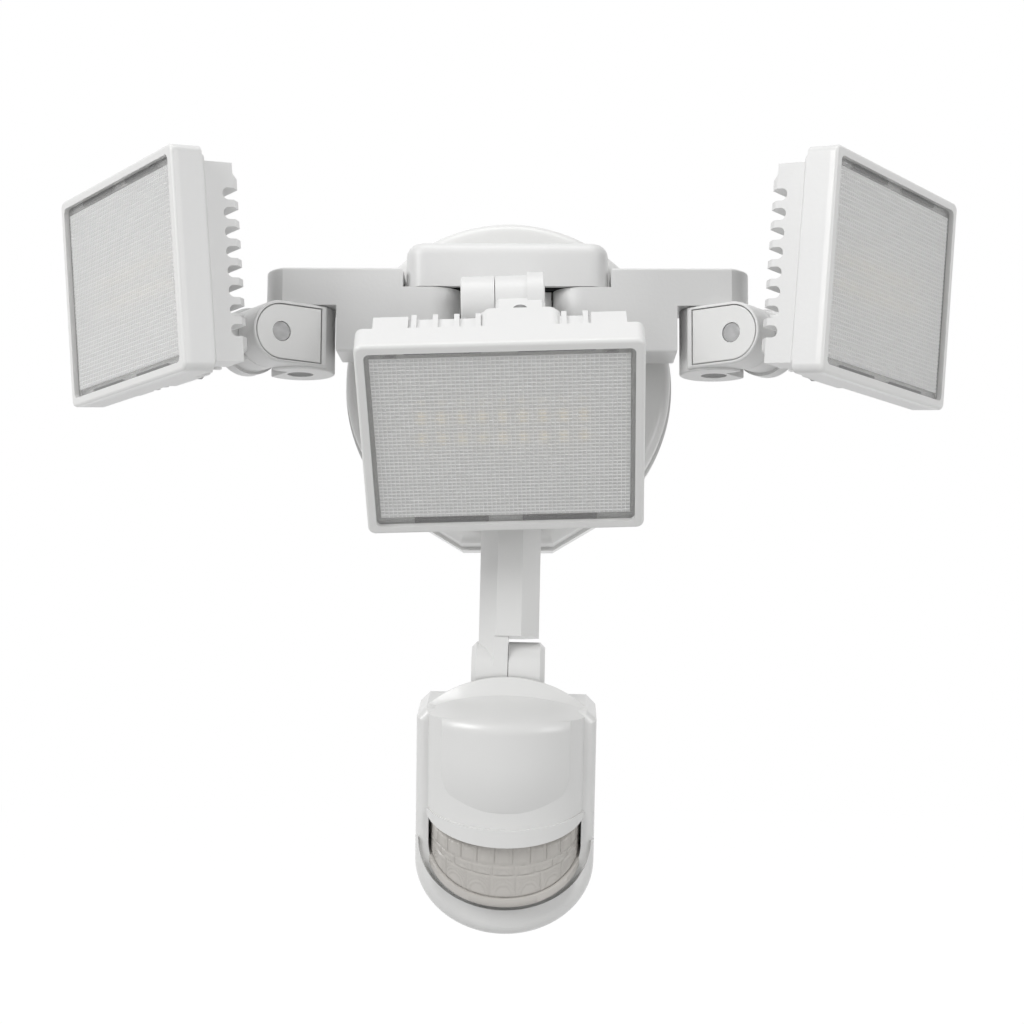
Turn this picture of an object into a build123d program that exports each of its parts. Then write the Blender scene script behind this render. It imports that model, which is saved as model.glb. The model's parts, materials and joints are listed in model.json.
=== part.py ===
from build123d import *
import os
from math import cos, radians, sin, sqrt

# Wall-mounted motion sensor security light: a round canopy, a fixed box with two side arms,
# three LED heads on knuckles that swivel and tilt, and a sensor hanging on a stem.
# Millimetres, +Z up. The wall is the plane y = 0, the front looks towards -Y, and the origin
# is the middle of the canopy's back. "Depth" is a distance in front of the wall or axis.

# ---------------------------------------------------------------- clearances
fit_gap = 0.05        # turning or push fit, on the radius
face_gap = 0.25       # between flat faces that slide past each other
seam_gap = 0.35       # open seam round a let-in plate

# ---------------------------------------------------------------- canopy on the wall
canopy_d = 127.0      # round base, covers a 4 inch junction box
ring_depth = 11.0     # wall to the seam of base and cover
ring_wall = 2.6
wall_stand_off = 0.6  # base lip to wall, filled by the gasket
gasket_t = 2.4
gasket_w = 5.0
cover_d = 124.6
cover_depth = 28.0    # wall to the cover's face
cover_wall = 2.8
cover_round = 4.5
cover_sink = 1.0      # shallow recess of the cover's face
cover_band = 5.0      # raised band round that recess
seam_groove_d = 120.6
seam_groove = 0.8
chin_w = 35.0         # flat bottom of base and cover
chin_side = 62.0      # chord where the flat's slopes start
crossbar_l = 104.0
crossbar_w = 20.0
crossbar_t = 2.0
box_hole_pitch = 88.9     # junction-box screw pitch, 3 1/2 inch
box_hole_d = 5.0
crossbar_hub_d = 13.0     # centre hole for the leads
fixing_x = 30.0       # canopy screws, off the middle
fixing_z = -26.0
fixing_d = 4.0
fixing_head_d = 7.5
fixing_head_t = 2.4

# ---------------------------------------------------------------- box in front of the canopy
box_w = 75.0
box_top = 47.0
box_front = 60.0      # depth of the box's and the arms' front
box_round = 5.0
box_corner = 7.0
box_wall = 2.5
box_floor = -10.0     # lower end of the box body behind the arms
seat_w = 33.0         # solid web between the arms
seat_room = 3.9       # hollow between the web and the centre knuckle's barrel
driver_w = 52.0
driver_h = 14.0
driver_t = 20.0

# ---------------------------------------------------------------- arms
arm_reach = 90.0      # middle to the arm's outer end
arm_t = 23.0          # front to back
arm_top = 36.8
arm_bottom = 5.2
arm_ceiling = 22.7    # underside of the outer end, above the knuckle
arm_step_x = 38.5     # where the arm's top steps down under the box
arm_step_top = 29.6
arm_inner_x = 16.9
arm_end = 12.9        # swivel axis to the arm's outer end
arm_notch = 14.2      # swivel axis to the inner side of the notch over the knuckle
arm_edge = 1.0
wire_way_d = 7.0
arm_screw_x = 48.0
arm_screw_d = 4.0
arm_screw_head_d = 7.0
arm_screw_sink = 3.0

# ---------------------------------------------------------------- knuckle, from the swivel axis
tilt_offset = 15.5    # swivel axis to tilt axis
knuckle_r = 11.5      # round end about the tilt axis
barrel_r = 12.8       # upright barrel about the swivel axis
barrel_drop = 0.9     # barrel's foot below the round end
knuckle_heel = 3.4    # flat end behind the swivel axis
knuckle_face = 14.0   # middle plane to the cover plate's face
split_x = 2.0         # middle plane to the split between the halves
plate_t = 2.0
plate_rim = 1.1       # knuckle's rim left round the plate
plate_heel = 2.2      # rim at the flat end
ear_far = 15.8        # middle plane to the ear's outer side
cheek_r = 12.5        # collar on the outer half of the ear
cheek_from = 9.6
neck_half_h = 8.5
foot_t = 3.0
foot_w = 26.0
foot_h = 30.0
tilt_bolt_d = 6.0
tilt_head_d = 7.0
tilt_nut_af = 10.0
tilt_nut_t = 4.6
tilt_nut_seat_d = 12.4
swivel_d = 5.0
swivel_head_d = 8.4
swivel_head_t = 3.4
swivel_seat_d = 9.6
swivel_shelf = 7.0    # seat's depth from the barrel's foot
swivel_grip = 9.0     # thread held in the arm
plug_t = 2.4
plug_sink = 0.4

# ---------------------------------------------------------------- head, from the tilt axis
head_w = 97.0
head_h = 77.6
head_reach = 56.6     # tilt axis to the front of the bezel
head_rise = 18.5      # head's middle above the tilt axis
head_corner = 2.8
bezel_t = 2.7
bezel_border = 3.2
bezel_lip = 1.2       # lip in front of the lens
tray_t = 8.8
tray_wall = 2.0
flange_t = 2.0
flange_inset = 1.6
back_inset = 5.4
back_corner = 4.0
back_t = 7.7
fin_t = 7.4
fin_chamfer = 3.2
slot_pitch = 6.8
slot_h = 4.2
slot_count = 8
rib_pitch = 7.3
rib_t = 1.8
rib_count = 9
rib_rise = 1.0
boss_w = 12.0
boss_rise = 1.3
lens_t = 2.0
lens_sink = 1.1       # lens let into the tray, on the seal
seal_t = 2.4
seal_w = 2.4
board_t = 1.6
board_gap = 1.0       # board's edge to the tray's wall
led_size = 3.0
led_t = 0.9
led_pitch = 7.0
led_row_gap = 9.0
leds_per_row = 9
pocket_w = 40.0       # lead pocket behind the board
pocket_h = 22.0
pocket_t = 5.0
lead_hole_d = 5.0
head_screw_d = 3.0
head_screw_head_d = 5.6
head_screw_head_t = 2.0
head_screw_inset = 11.0   # screw axis in from the head's sides
clip_w = 23.0         # bezel clips, two above and two below
clip_t = 1.1
clip_x = 18.5
clip_reach = 3.4
foot_screw_z = 11.8
foot_screw_d = 3.5
foot_screw_head_d = 6.4
foot_screw_depth = 6.0

# ---------------------------------------------------------------- where the knuckles stand
side_turn = 55.0      # heads turned outwards
side_tilt = 5.3       # heads tilted down
centre_axis_depth = 67.7
centre_tilt = 43.0
centre_height = 16.5
centre_x = -1.6       # the centre seat stands a little left of the middle
centre_lean = -1.7    # the centre seat leans: its right side is the higher one
seat_t = 12.0         # seat plate under the centre knuckle
seat_end_r = 12.6

# ---------------------------------------------------------------- sensor stem
stem_depth = 46.0
stem_x = 1.2          # the stem stands a little right of the middle
stem_lean = 0.9       # the sensor's right side hangs lower
stem_af = 22.0        # across the flats of the eight-sided stem
stem_edge = 0.8
hinge_height = -111.0
stem_foot = 11.9      # hinge axis up to the stem's cut end
socket_bottom = -57.0
socket_top = -44.0
socket_r = 13.5
spigot_r = 8.0
spigot_floor = 6.0    # socket's floor, held between stem and nut
stem_nut_r = 10.2
stem_nut_t = 4.5
lead_bore_d = 7.0
hinge_r = 10.3
hinge_w = 13.4        # each ear, from the split outwards
hinge_chamfer = 1.8
hinge_screw_d = 4.0
hinge_head_d = 7.6
hinge_head_t = 2.2
hinge_nut_af = 7.0
hinge_nut_t = 3.2

# ---------------------------------------------------------------- sensor, from the hinge axis
sensor_tilt = 15.0
sensor_w = 65.0
sensor_top = -10.4        # height of the shoulders
sensor_side_end = -66.0   # where the round bottom starts
sensor_bottom = -94.6
sensor_back = -10.5       # depths in front of the hinge axis
sensor_seam = 15.5
sensor_face = 19.5
sensor_wall = 2.4
shoulder = 3.5
sensor_round = 3.2
crest_top = 0.0           # arched crest in front of the hinge
crest_r = 44.0
crest_depth = 11.2
crest_t = 1.2
brow_top = -6.0           # arch of the seam
brow_r = 64.0
hood_w = 57.8
hood_depth = 31.0
hood_edge_side = -47.2    # visor's edge at the sides and in the middle
hood_edge_mid = -57.9
lip_h = 6.4               # visor's lip
lip_rise = 1.3
shield_w = 46.0
shield_axis = -2.5        # depth of the axis that the shield is turned about
shield_r = 37.0
shield_fold = 5.0         # rounding of its top edge
shield_break = -27.5      # where it starts to draw in
shield_end = -45.8        # where it meets the hood
shield_corner = 14.0
shield_edge = 1.2
cap_r = 42.0              # domed top of shield and hood
cap_h = 17.0
lens_w = 53.6
lens_gap = 0.3            # lens to hood
lens_depth = 28.5
lens_back = 10.0          # where the lens's straight sides end
dome_t = 1.3
dome_side_end = -60.0
dome_bottom = -80.8
flange_h = 3.2            # thicker foot of the lens
flange_rise = 1.0
window_w = 55.4
rim_w = 62.6              # rim round the lens's lower half
rim_side_end = -58.0
rim_bottom = -84.2
rim_rise = 3.2
rim_round = 5.0
hinge_scoop = 10.9
dial_r = 4.0
dial_t = 3.0
dial_pitch = 12.0
dial_stem_r = 1.5
dial_stem_l = 3.5
bay_w = 40.0
bay_front = 6.0
bay_wall = 2.0
bay_roof = -83.0
board_w = 50.0
board_h = 46.0
board_height = -54.0  # the board's middle
board_depth = 1.0
post_r = 2.5          # posts that carry the board
post_inset = 5.0
sensor_board_t = 1.6
detector_r = 4.6
detector_t = 4.4
detector_z = -56.0


# ================================================================ helpers
def block(x0, x1, y0, y1, z0, z1):
    """Box between two corners."""
    return Pos((x0 + x1) / 2, (y0 + y1) / 2, (z0 + z1) / 2) * Box(x1 - x0, y1 - y0, z1 - z0)


def front_slab(outline, near, far):
    """Front-view outline made solid between two depths."""
    return extrude(Plane.XZ.offset(near) * outline, amount=far - near)


def side_slab(outline, x0, x1):
    """Side-view outline (y, z) made solid between two x."""
    return extrude(Plane.YZ.offset(x0) * outline, amount=x1 - x0)


def rod_x(r, x0, x1, y=0, z=0):
    return Pos((x0 + x1) / 2, y, z) * Rot(0, 90, 0) * Cylinder(r, x1 - x0)


def rod_y(r, near, far, x=0, z=0):
    return Pos(x, -(near + far) / 2, z) * Rot(90, 0, 0) * Cylinder(r, far - near)


def rod_z(r, z0, z1, x=0, y=0):
    return Pos(x, y, (z0 + z1) / 2) * Cylinder(r, z1 - z0)


def hexagon(across_flats):
    return RegularPolygon(across_flats / sqrt(3), 6)


def edges_at(solid, axis, value, tol=0.01):
    """Edges that lie whole in one plane across an axis."""
    return solid.edges().filter_by_position(axis, value - tol, value + tol)


# ================================================================ canopy
def chin_outline(diameter):
    """Circle whose bottom runs out into a short flat."""
    r = diameter / 2
    y_side = -sqrt(r * r - (chin_side / 2) ** 2)
    chin = Polygon((-chin_side / 2, y_side), (-chin_w / 2, -r), (chin_w / 2, -r), (chin_side / 2, y_side),
                   (0, 0), align=None)
    return Circle(r) + chin


def make_canopy_base():
    outer = front_slab(chin_outline(canopy_d), wall_stand_off, ring_depth)
    inner_d = canopy_d - 2 * ring_wall
    flange_back = gasket_t
    flange_front = gasket_t + ring_wall
    ring = outer - front_slab(Circle(inner_d / 2), flange_front, ring_depth)
    ring -= front_slab(Circle(inner_d / 2), 0, flange_back)
    opening = inner_d / 2 - gasket_w - 1
    ring -= front_slab(Circle(opening), 0, ring_depth)
    for side in (-1, 1):
        # lugs that the two canopy screws pass
        lug = front_slab(Pos(side * fixing_x, fixing_z) * Circle(fixing_d), flange_back, flange_front)
        web = front_slab(Pos(side * (fixing_x + 8), fixing_z - 8) * Rot(0, 0, side * -45)
                         * Rectangle(30, 2 * fixing_d), flange_back, flange_front)
        web &= front_slab(Circle(inner_d / 2 - 1), flange_back, flange_front)
        ring += lug + web
    for side in (-1, 1):
        ring -= rod_y(fixing_d / 2 + 0.2, 0, ring_depth, side * fixing_x, fixing_z)
    return ring


def make_wall_gasket():
    r = canopy_d / 2 - ring_wall - 0.3
    return front_slab(Circle(r) - Circle(r - gasket_w), 0, gasket_t)


def make_crossbar():
    """Steel bar that the junction-box screws hold; the canopy hangs on it."""
    bar = front_slab(RectangleRounded(crossbar_l, crossbar_w, 5), 0, crossbar_t)
    tab_h = crossbar_w / 2 - fixing_z + 5
    for side in (-1, 1):
        tab = block(side * fixing_x - 6, side * fixing_x + 6, -crossbar_t, 0, crossbar_w / 2 - tab_h, 0)
        bar += tab
    bar -= rod_y(crossbar_hub_d / 2, 0, crossbar_t)
    for side in (-1, 1):
        bar -= rod_y(box_hole_d / 2, 0, crossbar_t, side * box_hole_pitch / 2)
        bar -= rod_y(fixing_d / 2, 0, crossbar_t, side * fixing_x, fixing_z)
    return bar


def stem_place():
    """Frame of the stem: origin on the hinge axis, z up the stem."""
    return Pos(stem_x, -stem_depth, hinge_height) * Rot(0, stem_lean, 0)


def socket_span():
    """Lower and upper end of the stem's socket above the hinge axis."""
    return socket_bottom - hinge_height, socket_top - hinge_height


def cover_recess():
    return Circle(cover_d / 2 - cover_round - cover_band)


def make_canopy_cover():
    cover = front_slab(chin_outline(cover_d), ring_depth, cover_depth)
    cover = fillet(edges_at(cover, Axis.Y, -cover_depth), cover_round)
    cover -= front_slab(cover_recess(), cover_depth - cover_sink, cover_depth)
    cavity_front = cover_depth - cover_sink - cover_wall
    cover -= front_slab(Circle(cover_d / 2 - cover_round - cover_wall), ring_depth, cavity_front)
    # shadow groove at the seam with the base
    groove = Circle(cover_d) - Circle(seam_groove_d / 2)
    cover -= front_slab(groove, ring_depth, ring_depth + seam_groove)
    # socket of the sensor stem, on a short neck
    low, high = socket_span()
    socket = stem_place() * rod_z(socket_r, low, high)
    neck = block(stem_x - socket_r, stem_x + socket_r, -stem_depth, -cavity_front, socket_bottom, socket_top)
    cover += socket + neck
    cover -= stem_place() * rod_z(spigot_r + fit_gap, low - 1, high + 1)
    cover -= stem_place() * rod_z(stem_nut_r + 0.4, low + spigot_floor, high + 1)
    # way for the sensor's leads from the socket into the canopy
    cover -= rod_y(lead_bore_d / 2, cavity_front - 1, stem_depth, stem_x, (socket_bottom + socket_top) / 2 + 3)
    for side in (-1, 1):
        cover -= rod_y(fixing_d / 2 + 0.2, ring_depth, cover_depth, side * fixing_x, fixing_z)
    # lead hole into the box
    cover -= rod_y(wire_way_d / 2, ring_depth, cover_depth, 0, (arm_step_top + box_top) / 2)
    return cover


def canopy_screw(x):
    face = cover_depth - cover_sink
    shank = rod_y(fixing_d / 2 - fit_gap, 0, face, x, fixing_z)
    head = rod_y(fixing_head_d / 2, face, face + fixing_head_t, x, fixing_z)
    head = fillet(edges_at(head, Axis.Y, -face - fixing_head_t), fixing_head_t * 0.6)
    drive = block(x - 0.5, x + 0.5, -face - fixing_head_t, -face - fixing_head_t / 2,
                  fixing_z - 2, fixing_z + 2)
    cross = block(x - 2, x + 2, -face - fixing_head_t, -face - fixing_head_t / 2,
                  fixing_z - 0.5, fixing_z + 0.5)
    return shank + head - drive - cross


def make_canopy_screws():
    return [canopy_screw(side * fixing_x) for side in (-1, 1)]


# ================================================================ box and arms
def box_back():
    return cover_depth - cover_sink


def arm_back():
    return box_front - arm_t


def centre_place():
    """Frame of the centre knuckle: upside down on its seat."""
    return Pos(centre_x, -centre_axis_depth, centre_height) * Rot(0, centre_lean, 0) * Rot(0, 180, 0)


def web_front():
    """Depth of the hollow's floor in front of the web."""
    return centre_axis_depth - barrel_r - seat_room


def make_box():
    """Driver housing: hood over the arms' tongues, web between them, seat for the centre knuckle."""
    hood = block(-box_w / 2, box_w / 2, -box_front, -box_back(), arm_step_top + face_gap, box_top)
    uprights = hood.edges().filter_by(Axis.Z).group_by(Axis.Y)[0]
    hood = fillet(uprights, box_corner)
    hood = fillet(edges_at(hood, Axis.Z, box_top), box_round)
    body = block(-box_w / 2, box_w / 2, -arm_back() + face_gap, -box_back(), box_floor, arm_step_top + 1)
    web = block(-seat_w / 2, seat_w / 2, -web_front(), -box_back(), box_floor, arm_step_top + 1)
    # seat plate under the upside-down knuckle, square to its swivel axis
    under = knuckle_r + face_gap
    low = under + seat_t
    reach = barrel_r + seat_room
    seat = rod_z(seat_end_r, under, low)
    bridge = block(-seat_end_r, seat_end_r, 0, reach + 2, under, low)
    box = hood + body + web + centre_place() * (seat + bridge)
    # the back is notched over the cover's raised band
    box -= front_slab(Circle(cover_d) - cover_recess(), box_back(), cover_depth)
    box -= centre_place() * rod_z(swivel_d / 2, under, under + swivel_grip)
    # driver bay, open to the cover behind
    bay_low = box_top - box_wall - driver_h - 1
    box -= block(-driver_w / 2 - 1, driver_w / 2 + 1, -box_front + box_wall, -box_back(),
                 bay_low, box_top - box_wall)
    return box


def make_driver():
    """Potted LED driver in the box's bay."""
    top = box_top - box_wall - 0.5
    body = block(-driver_w / 2, driver_w / 2, -box_back() - driver_t - 6, -box_back() - 6,
                 top - driver_h, top)
    body = chamfer(body.edges().filter_by(Axis.Y), 1.0)
    rails = Sketch() + [Pos(x, 0) * Rectangle(3, driver_h) for x in (-driver_w / 4, driver_w / 4)]
    feet = front_slab(Pos(0, top - driver_h / 2) * rails, box_back(), box_back() + 6)
    return body + feet


def side_axis():
    """Swivel axis of the right knuckle, off the middle."""
    return arm_reach - arm_end


def make_arm(side):
    """Solid cast arm: tongue under the box, outer end over the knuckle."""
    axis_depth = (box_front + arm_back()) / 2
    axis_x = side_axis()
    top = block(arm_step_x, axis_x, -box_front, -arm_back(), arm_ceiling, arm_top)
    end = rod_z(arm_end, arm_ceiling, arm_top, axis_x, -axis_depth)
    end &= block(0, arm_reach + 1, -box_front, -arm_back(), arm_ceiling, arm_top)
    low = block(arm_inner_x + arm_t / 2, axis_x - arm_notch, -box_front, -arm_back(), arm_bottom, arm_step_top)
    inner = rod_z(arm_t / 2, arm_bottom, arm_step_top, arm_inner_x + arm_t / 2, -axis_depth)
    low += block(arm_inner_x + arm_t / 2, arm_step_x + 1, -box_front, -arm_back(), arm_bottom, arm_step_top)
    arm = top + end + low + inner
    arm = fillet(edges_at(arm, Axis.Z, arm_top) + edges_at(arm, Axis.Z, arm_bottom), arm_edge)
    # lead way along the arm, from the box to the knuckle's screw hole
    way_z = (arm_ceiling + arm_top) / 2
    arm -= rod_x(wire_way_d / 2, arm_step_x - 1, axis_x - 6, -axis_depth, way_z)
    arm -= rod_z(swivel_d / 2, arm_ceiling, arm_ceiling + swivel_grip, axis_x, -axis_depth)
    # screw that holds the tongue to the box, from behind
    screw_z = (arm_bottom + arm_ceiling) / 2
    arm -= rod_y(arm_screw_d / 2, arm_back(), box_front - 6, arm_inner_x + 12, screw_z)
    # open slot in the underside
    arm -= block(arm_screw_x - 3, arm_screw_x + 3, -axis_depth - 1.6, -axis_depth + 1.6,
                 arm_bottom, arm_bottom + arm_screw_sink)
    return mirror(arm, about=Plane.YZ) if side < 0 else arm


def make_arm_screws():
    """Screws from the canopy side of the box into the two arms."""
    screw_z = (arm_bottom + arm_ceiling) / 2
    screws = []
    for side in (-1, 1):
        x = side * (arm_inner_x + 12)
        shank = rod_y(arm_screw_d / 2 - fit_gap, box_back() + 4, box_front - 7, x, screw_z)
        head = rod_y(arm_screw_head_d / 2, box_back() + 1, box_back() + 4, x, screw_z)
        screws.append(shank + head)
    return screws


def cut_arm_screw_ways(box):
    screw_z = (arm_bottom + arm_ceiling) / 2
    for side in (-1, 1):
        x = side * (arm_inner_x + 12)
        box -= rod_y(arm_screw_head_d / 2 + fit_gap, box_back(), box_back() + 4, x, screw_z)
        box -= rod_y(arm_screw_d / 2, box_back(), arm_back(), x, screw_z)
    return box


# ================================================================ knuckle halves
def tilt_y():
    return -tilt_offset


def d_outline(r, heel):
    """Side view of the fixed half: round at the tilt axis, flat behind the swivel axis."""
    tail = Pos((heel + tilt_y()) / 2, 0) * Rectangle(heel - tilt_y(), 2 * r)
    return Pos(tilt_y(), 0) * Circle(r) + tail


def make_knuckle():
    """Half that swivels on the arm and carries the tilt bolt."""
    foot = -knuckle_r - barrel_drop
    body = side_slab(d_outline(knuckle_r, knuckle_heel), split_x, knuckle_face)
    body = fillet(edges_at(body, Axis.X, knuckle_face), 0.8)
    barrel = rod_z(barrel_r, foot, knuckle_r)
    barrel = fillet(edges_at(barrel, Axis.Z, foot), 0.8)
    # the other half turns here
    barrel -= rod_x(cheek_r + 0.5, -barrel_r - 1, split_x, tilt_y())
    reach = swivel_seat_d / 2 + 1.6
    barrel -= block(-barrel_r - 1, split_x, -barrel_r - 1, -reach, foot - 1, knuckle_r + 1)
    knuckle = body + barrel
    pocket = d_outline(knuckle_r - plate_rim, knuckle_heel - plate_heel)
    knuckle -= side_slab(pocket, knuckle_face - plate_t, knuckle_face)
    knuckle -= rod_x(tilt_bolt_d / 2 + fit_gap, split_x - 1, knuckle_face, tilt_y())
    knuckle -= rod_z(swivel_d / 2 + fit_gap, foot, knuckle_r)
    knuckle -= rod_z(swivel_seat_d / 2, foot, foot + swivel_shelf)
    return knuckle


def make_plate():
    """Let-in cover plate of the fixed half."""
    outline = d_outline(knuckle_r - plate_rim - seam_gap, knuckle_heel - plate_heel - seam_gap)
    plate = side_slab(outline, knuckle_face - plate_t, knuckle_face)
    plate = fillet(edges_at(plate, Axis.X, knuckle_face), 0.4)
    return plate - rod_x(tilt_head_d / 2 + 0.2, 0, knuckle_face + 1, tilt_y())


def make_tilt_bolt():
    """Bolt through both halves and its nut in the ear."""
    under = knuckle_face - plate_t
    bolt = rod_x(tilt_bolt_d / 2, -ear_far + 0.6, under, tilt_y())
    head = rod_x(tilt_head_d / 2, under, knuckle_face - 0.3, tilt_y())
    bolt += head
    outline = Pos(tilt_y(), 0) * (hexagon(tilt_nut_af) - Circle(tilt_bolt_d / 2 + fit_gap))
    return [bolt, side_slab(outline, -ear_far + 0.2, -ear_far + 0.2 + tilt_nut_t)]


def make_swivel_screw():
    shelf = -knuckle_r - barrel_drop + swivel_shelf
    shank = rod_z(swivel_d / 2, shelf - swivel_head_t, knuckle_r + face_gap + swivel_grip - 0.5)
    head = rod_z(swivel_head_d / 2, shelf - swivel_head_t - 0.1, shelf - 0.1)
    key = Pos(0, 0, shelf - swivel_head_t - 0.1) * extrude(hexagon(3.5), amount=1.8)
    return shank + head - key


def make_plug():
    foot = -knuckle_r - barrel_drop
    plug = rod_z(swivel_seat_d / 2 - fit_gap, foot + plug_sink, foot + plug_sink + plug_t)
    return fillet(edges_at(plug, Axis.Z, foot + plug_sink), 0.4)


def make_bracket():
    """Half that tilts with the head: ear, neck and foot."""
    inner = split_x - face_gap
    ear = rod_x(knuckle_r, -ear_far, inner)
    cheek = rod_x(cheek_r, -ear_far, -cheek_from)
    cheek = fillet(edges_at(cheek, Axis.X, -ear_far), 0.8)
    foot_far = rear_depth()
    neck = block(-ear_far, inner, -foot_far, 0, -neck_half_h, neck_half_h)
    neck = chamfer(neck.edges().filter_by(Axis.Y), 1.2)
    foot = front_slab(Pos(bracket_x(), 0) * RectangleRounded(foot_w, foot_h, 3), foot_far - foot_t, foot_far)
    bracket = ear + cheek + neck + foot
    bracket -= rod_x(tilt_bolt_d / 2 + fit_gap, -ear_far - 1, inner + 1)
    bracket -= rod_x(tilt_nut_seat_d / 2, -ear_far - 1, -ear_far + 0.4 + tilt_nut_t)
    for side in (-1, 1):
        bracket -= rod_y(foot_screw_d / 2, foot_far - foot_t, foot_far, bracket_x(), side * foot_screw_z)
    return bracket - rod_y(lead_hole_d / 2, cheek_r + 2, foot_far, bracket_x())


def bracket_x():
    return (split_x - face_gap - ear_far) / 2


# ================================================================ head
def seam_depth():
    return head_reach - bezel_t


def flange_depth():
    return seam_depth() - tray_t


def floor_depth():
    return flange_depth() - flange_t


def fin_depth():
    return floor_depth() - back_t


def rear_depth():
    return fin_depth() - fin_t


def head_outline(inset, corner=head_corner):
    return Pos(0, head_rise) * RectangleRounded(head_w - 2 * inset, head_h - 2 * inset, corner)


def slot_heights():
    return [head_rise + slot_pitch * (i - (slot_count - 1) / 2) for i in range(slot_count)]


def rib_places():
    return [rib_pitch * (i - (rib_count - 1) / 2) for i in range(rib_count)]


def screw_corners():
    x = head_w / 2 - head_screw_inset
    z = head_h / 2 - head_screw_inset
    return [(sx * x, head_rise + sz * z) for sx in (-1, 1) for sz in (-1, 1)]


def make_housing():
    """Cast tray with its finned back."""
    tray = front_slab(head_outline(0), flange_depth(), seam_depth())
    flange = front_slab(head_outline(flange_inset), floor_depth(), flange_depth())
    flange = chamfer(edges_at(flange, Axis.Y, -floor_depth()), 0.8)
    back = front_slab(head_outline(back_inset, back_corner), rear_depth(), floor_depth())
    back = chamfer(edges_at(back, Axis.Y, -rear_depth()), fin_chamfer)
    half_w = head_w / 2 - back_inset
    half_h = head_h / 2 - back_inset
    for z in slot_heights():
        slot = Pos(-rear_depth() - fin_t / 2 + 2, z) * SlotOverall(fin_t + 4, slot_h)
        back -= side_slab(slot, -half_w - 1, half_w + 1)
    rib_far = rear_depth() + fin_chamfer / 2
    for x in rib_places():
        back += block(x - rib_t / 2, x + rib_t / 2, -floor_depth(), -rib_far,
                      head_rise - half_h - rib_rise, head_rise + half_h + rib_rise)
    # corner bosses for the board's screws
    boss_side = half_w - boss_w
    for sx in (-1, 1):
        for sz in (-1, 1):
            x0, x1 = sorted((sx * boss_side, sx * half_w))
            z0, z1 = sorted((head_rise + sz * (half_h - boss_w / 2), head_rise + sz * (half_h + boss_rise)))
            back += block(x0, x1, -floor_depth(), -rear_depth() - fin_chamfer, z0, z1)
    # solid pad behind the bracket's foot
    pad = Pos(bracket_x(), 0) * RectangleRounded(foot_w + 2, foot_h + 2, 3)
    back += front_slab(pad, rear_depth(), floor_depth())
    housing = tray + flange + back
    # ledge for the seal, then the well for the board
    housing -= front_slab(head_outline(tray_wall, 2.0), seam_depth() - seal_t, seam_depth())
    housing -= front_slab(head_outline(tray_wall + seal_w, 1.5), floor_depth() + 1, seam_depth())
    housing -= bezel_clips(fit_gap, clip_reach + 0.4)
    pocket = Pos(bracket_x(), head_rise / 4) * RectangleRounded(pocket_w, pocket_h, 2)
    housing -= front_slab(pocket, floor_depth() - pocket_t, floor_depth() + 1)
    housing -= rod_y(lead_hole_d / 2, rear_depth(), floor_depth(), bracket_x())
    for x, z in screw_corners():
        housing -= rod_y(head_screw_d / 2, rib_far + 3, floor_depth() + 1, x, z)
    for side in (-1, 1):
        housing -= rod_y(foot_screw_d / 2, rear_depth(), rear_depth() + foot_screw_depth,
                         bracket_x(), side * foot_screw_z)
    return housing


def lens_front():
    return seam_depth() + lens_t - lens_sink


def bezel_clips(grow, reach):
    """Four tongues inside the tray's wall, or with growth the slots they snap into."""
    z = head_h / 2 - tray_wall - clip_t / 2
    outline = Sketch() + [Pos(sx * clip_x, head_rise + sz * z) * Rectangle(clip_w + 2 * grow, clip_t + 2 * grow)
                          for sx in (-1, 1) for sz in (-1, 1)]
    return front_slab(outline, seam_depth() - reach, lens_front())


def make_bezel():
    """Front frame with a lip over the lens's edge, clipped into the tray."""
    frame = front_slab(head_outline(0), seam_depth(), head_reach)
    frame = fillet(edges_at(frame, Axis.Y, -head_reach), 1.2)
    frame -= front_slab(head_outline(bezel_border, 2.0), seam_depth(), head_reach)
    frame -= front_slab(head_outline(bezel_lip, head_corner - bezel_lip), seam_depth(), lens_front())
    return frame + bezel_clips(0, clip_reach)


def make_lens():
    """Clear front sheet, pinned by the bezel's lip."""
    rim = bezel_lip + 0.15
    rim_plate = front_slab(head_outline(rim, head_corner - rim), seam_depth(), lens_front())
    inner = front_slab(head_outline(tray_wall + 0.1, 2.0), seam_depth() - lens_sink, seam_depth())
    return rim_plate + inner - bezel_clips(fit_gap, clip_reach)


def make_seal():
    """Silicone frame between tray and lens."""
    frame = head_outline(tray_wall + 0.1, 2.0) - head_outline(tray_wall + seal_w, 1.0)
    seal = front_slab(frame, seam_depth() - seal_t, seam_depth() - lens_sink)
    return seal - bezel_clips(fit_gap, clip_reach)


def make_led_board():
    """Aluminium board on the tray's floor."""
    back = floor_depth() + 1
    board = front_slab(head_outline(tray_wall + seal_w + board_gap, 1.5), back, back + board_t)
    for x, z in screw_corners():
        board -= rod_y(head_screw_d / 2 + fit_gap, 0, head_reach, x, z)
    return board


def make_leds():
    """Two rows of surface-mounted emitters."""
    base = floor_depth() + 1 + board_t
    leds = []
    for row in (-0.5, 0.5):
        for i in range(leds_per_row):
            x = led_pitch * (i - (leds_per_row - 1) / 2)
            z = head_rise + row * led_row_gap
            chip = front_slab(Pos(x, z) * RectangleRounded(led_size, led_size, 0.4), base, base + led_t)
            leds.append(chip)
    return leds


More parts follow.
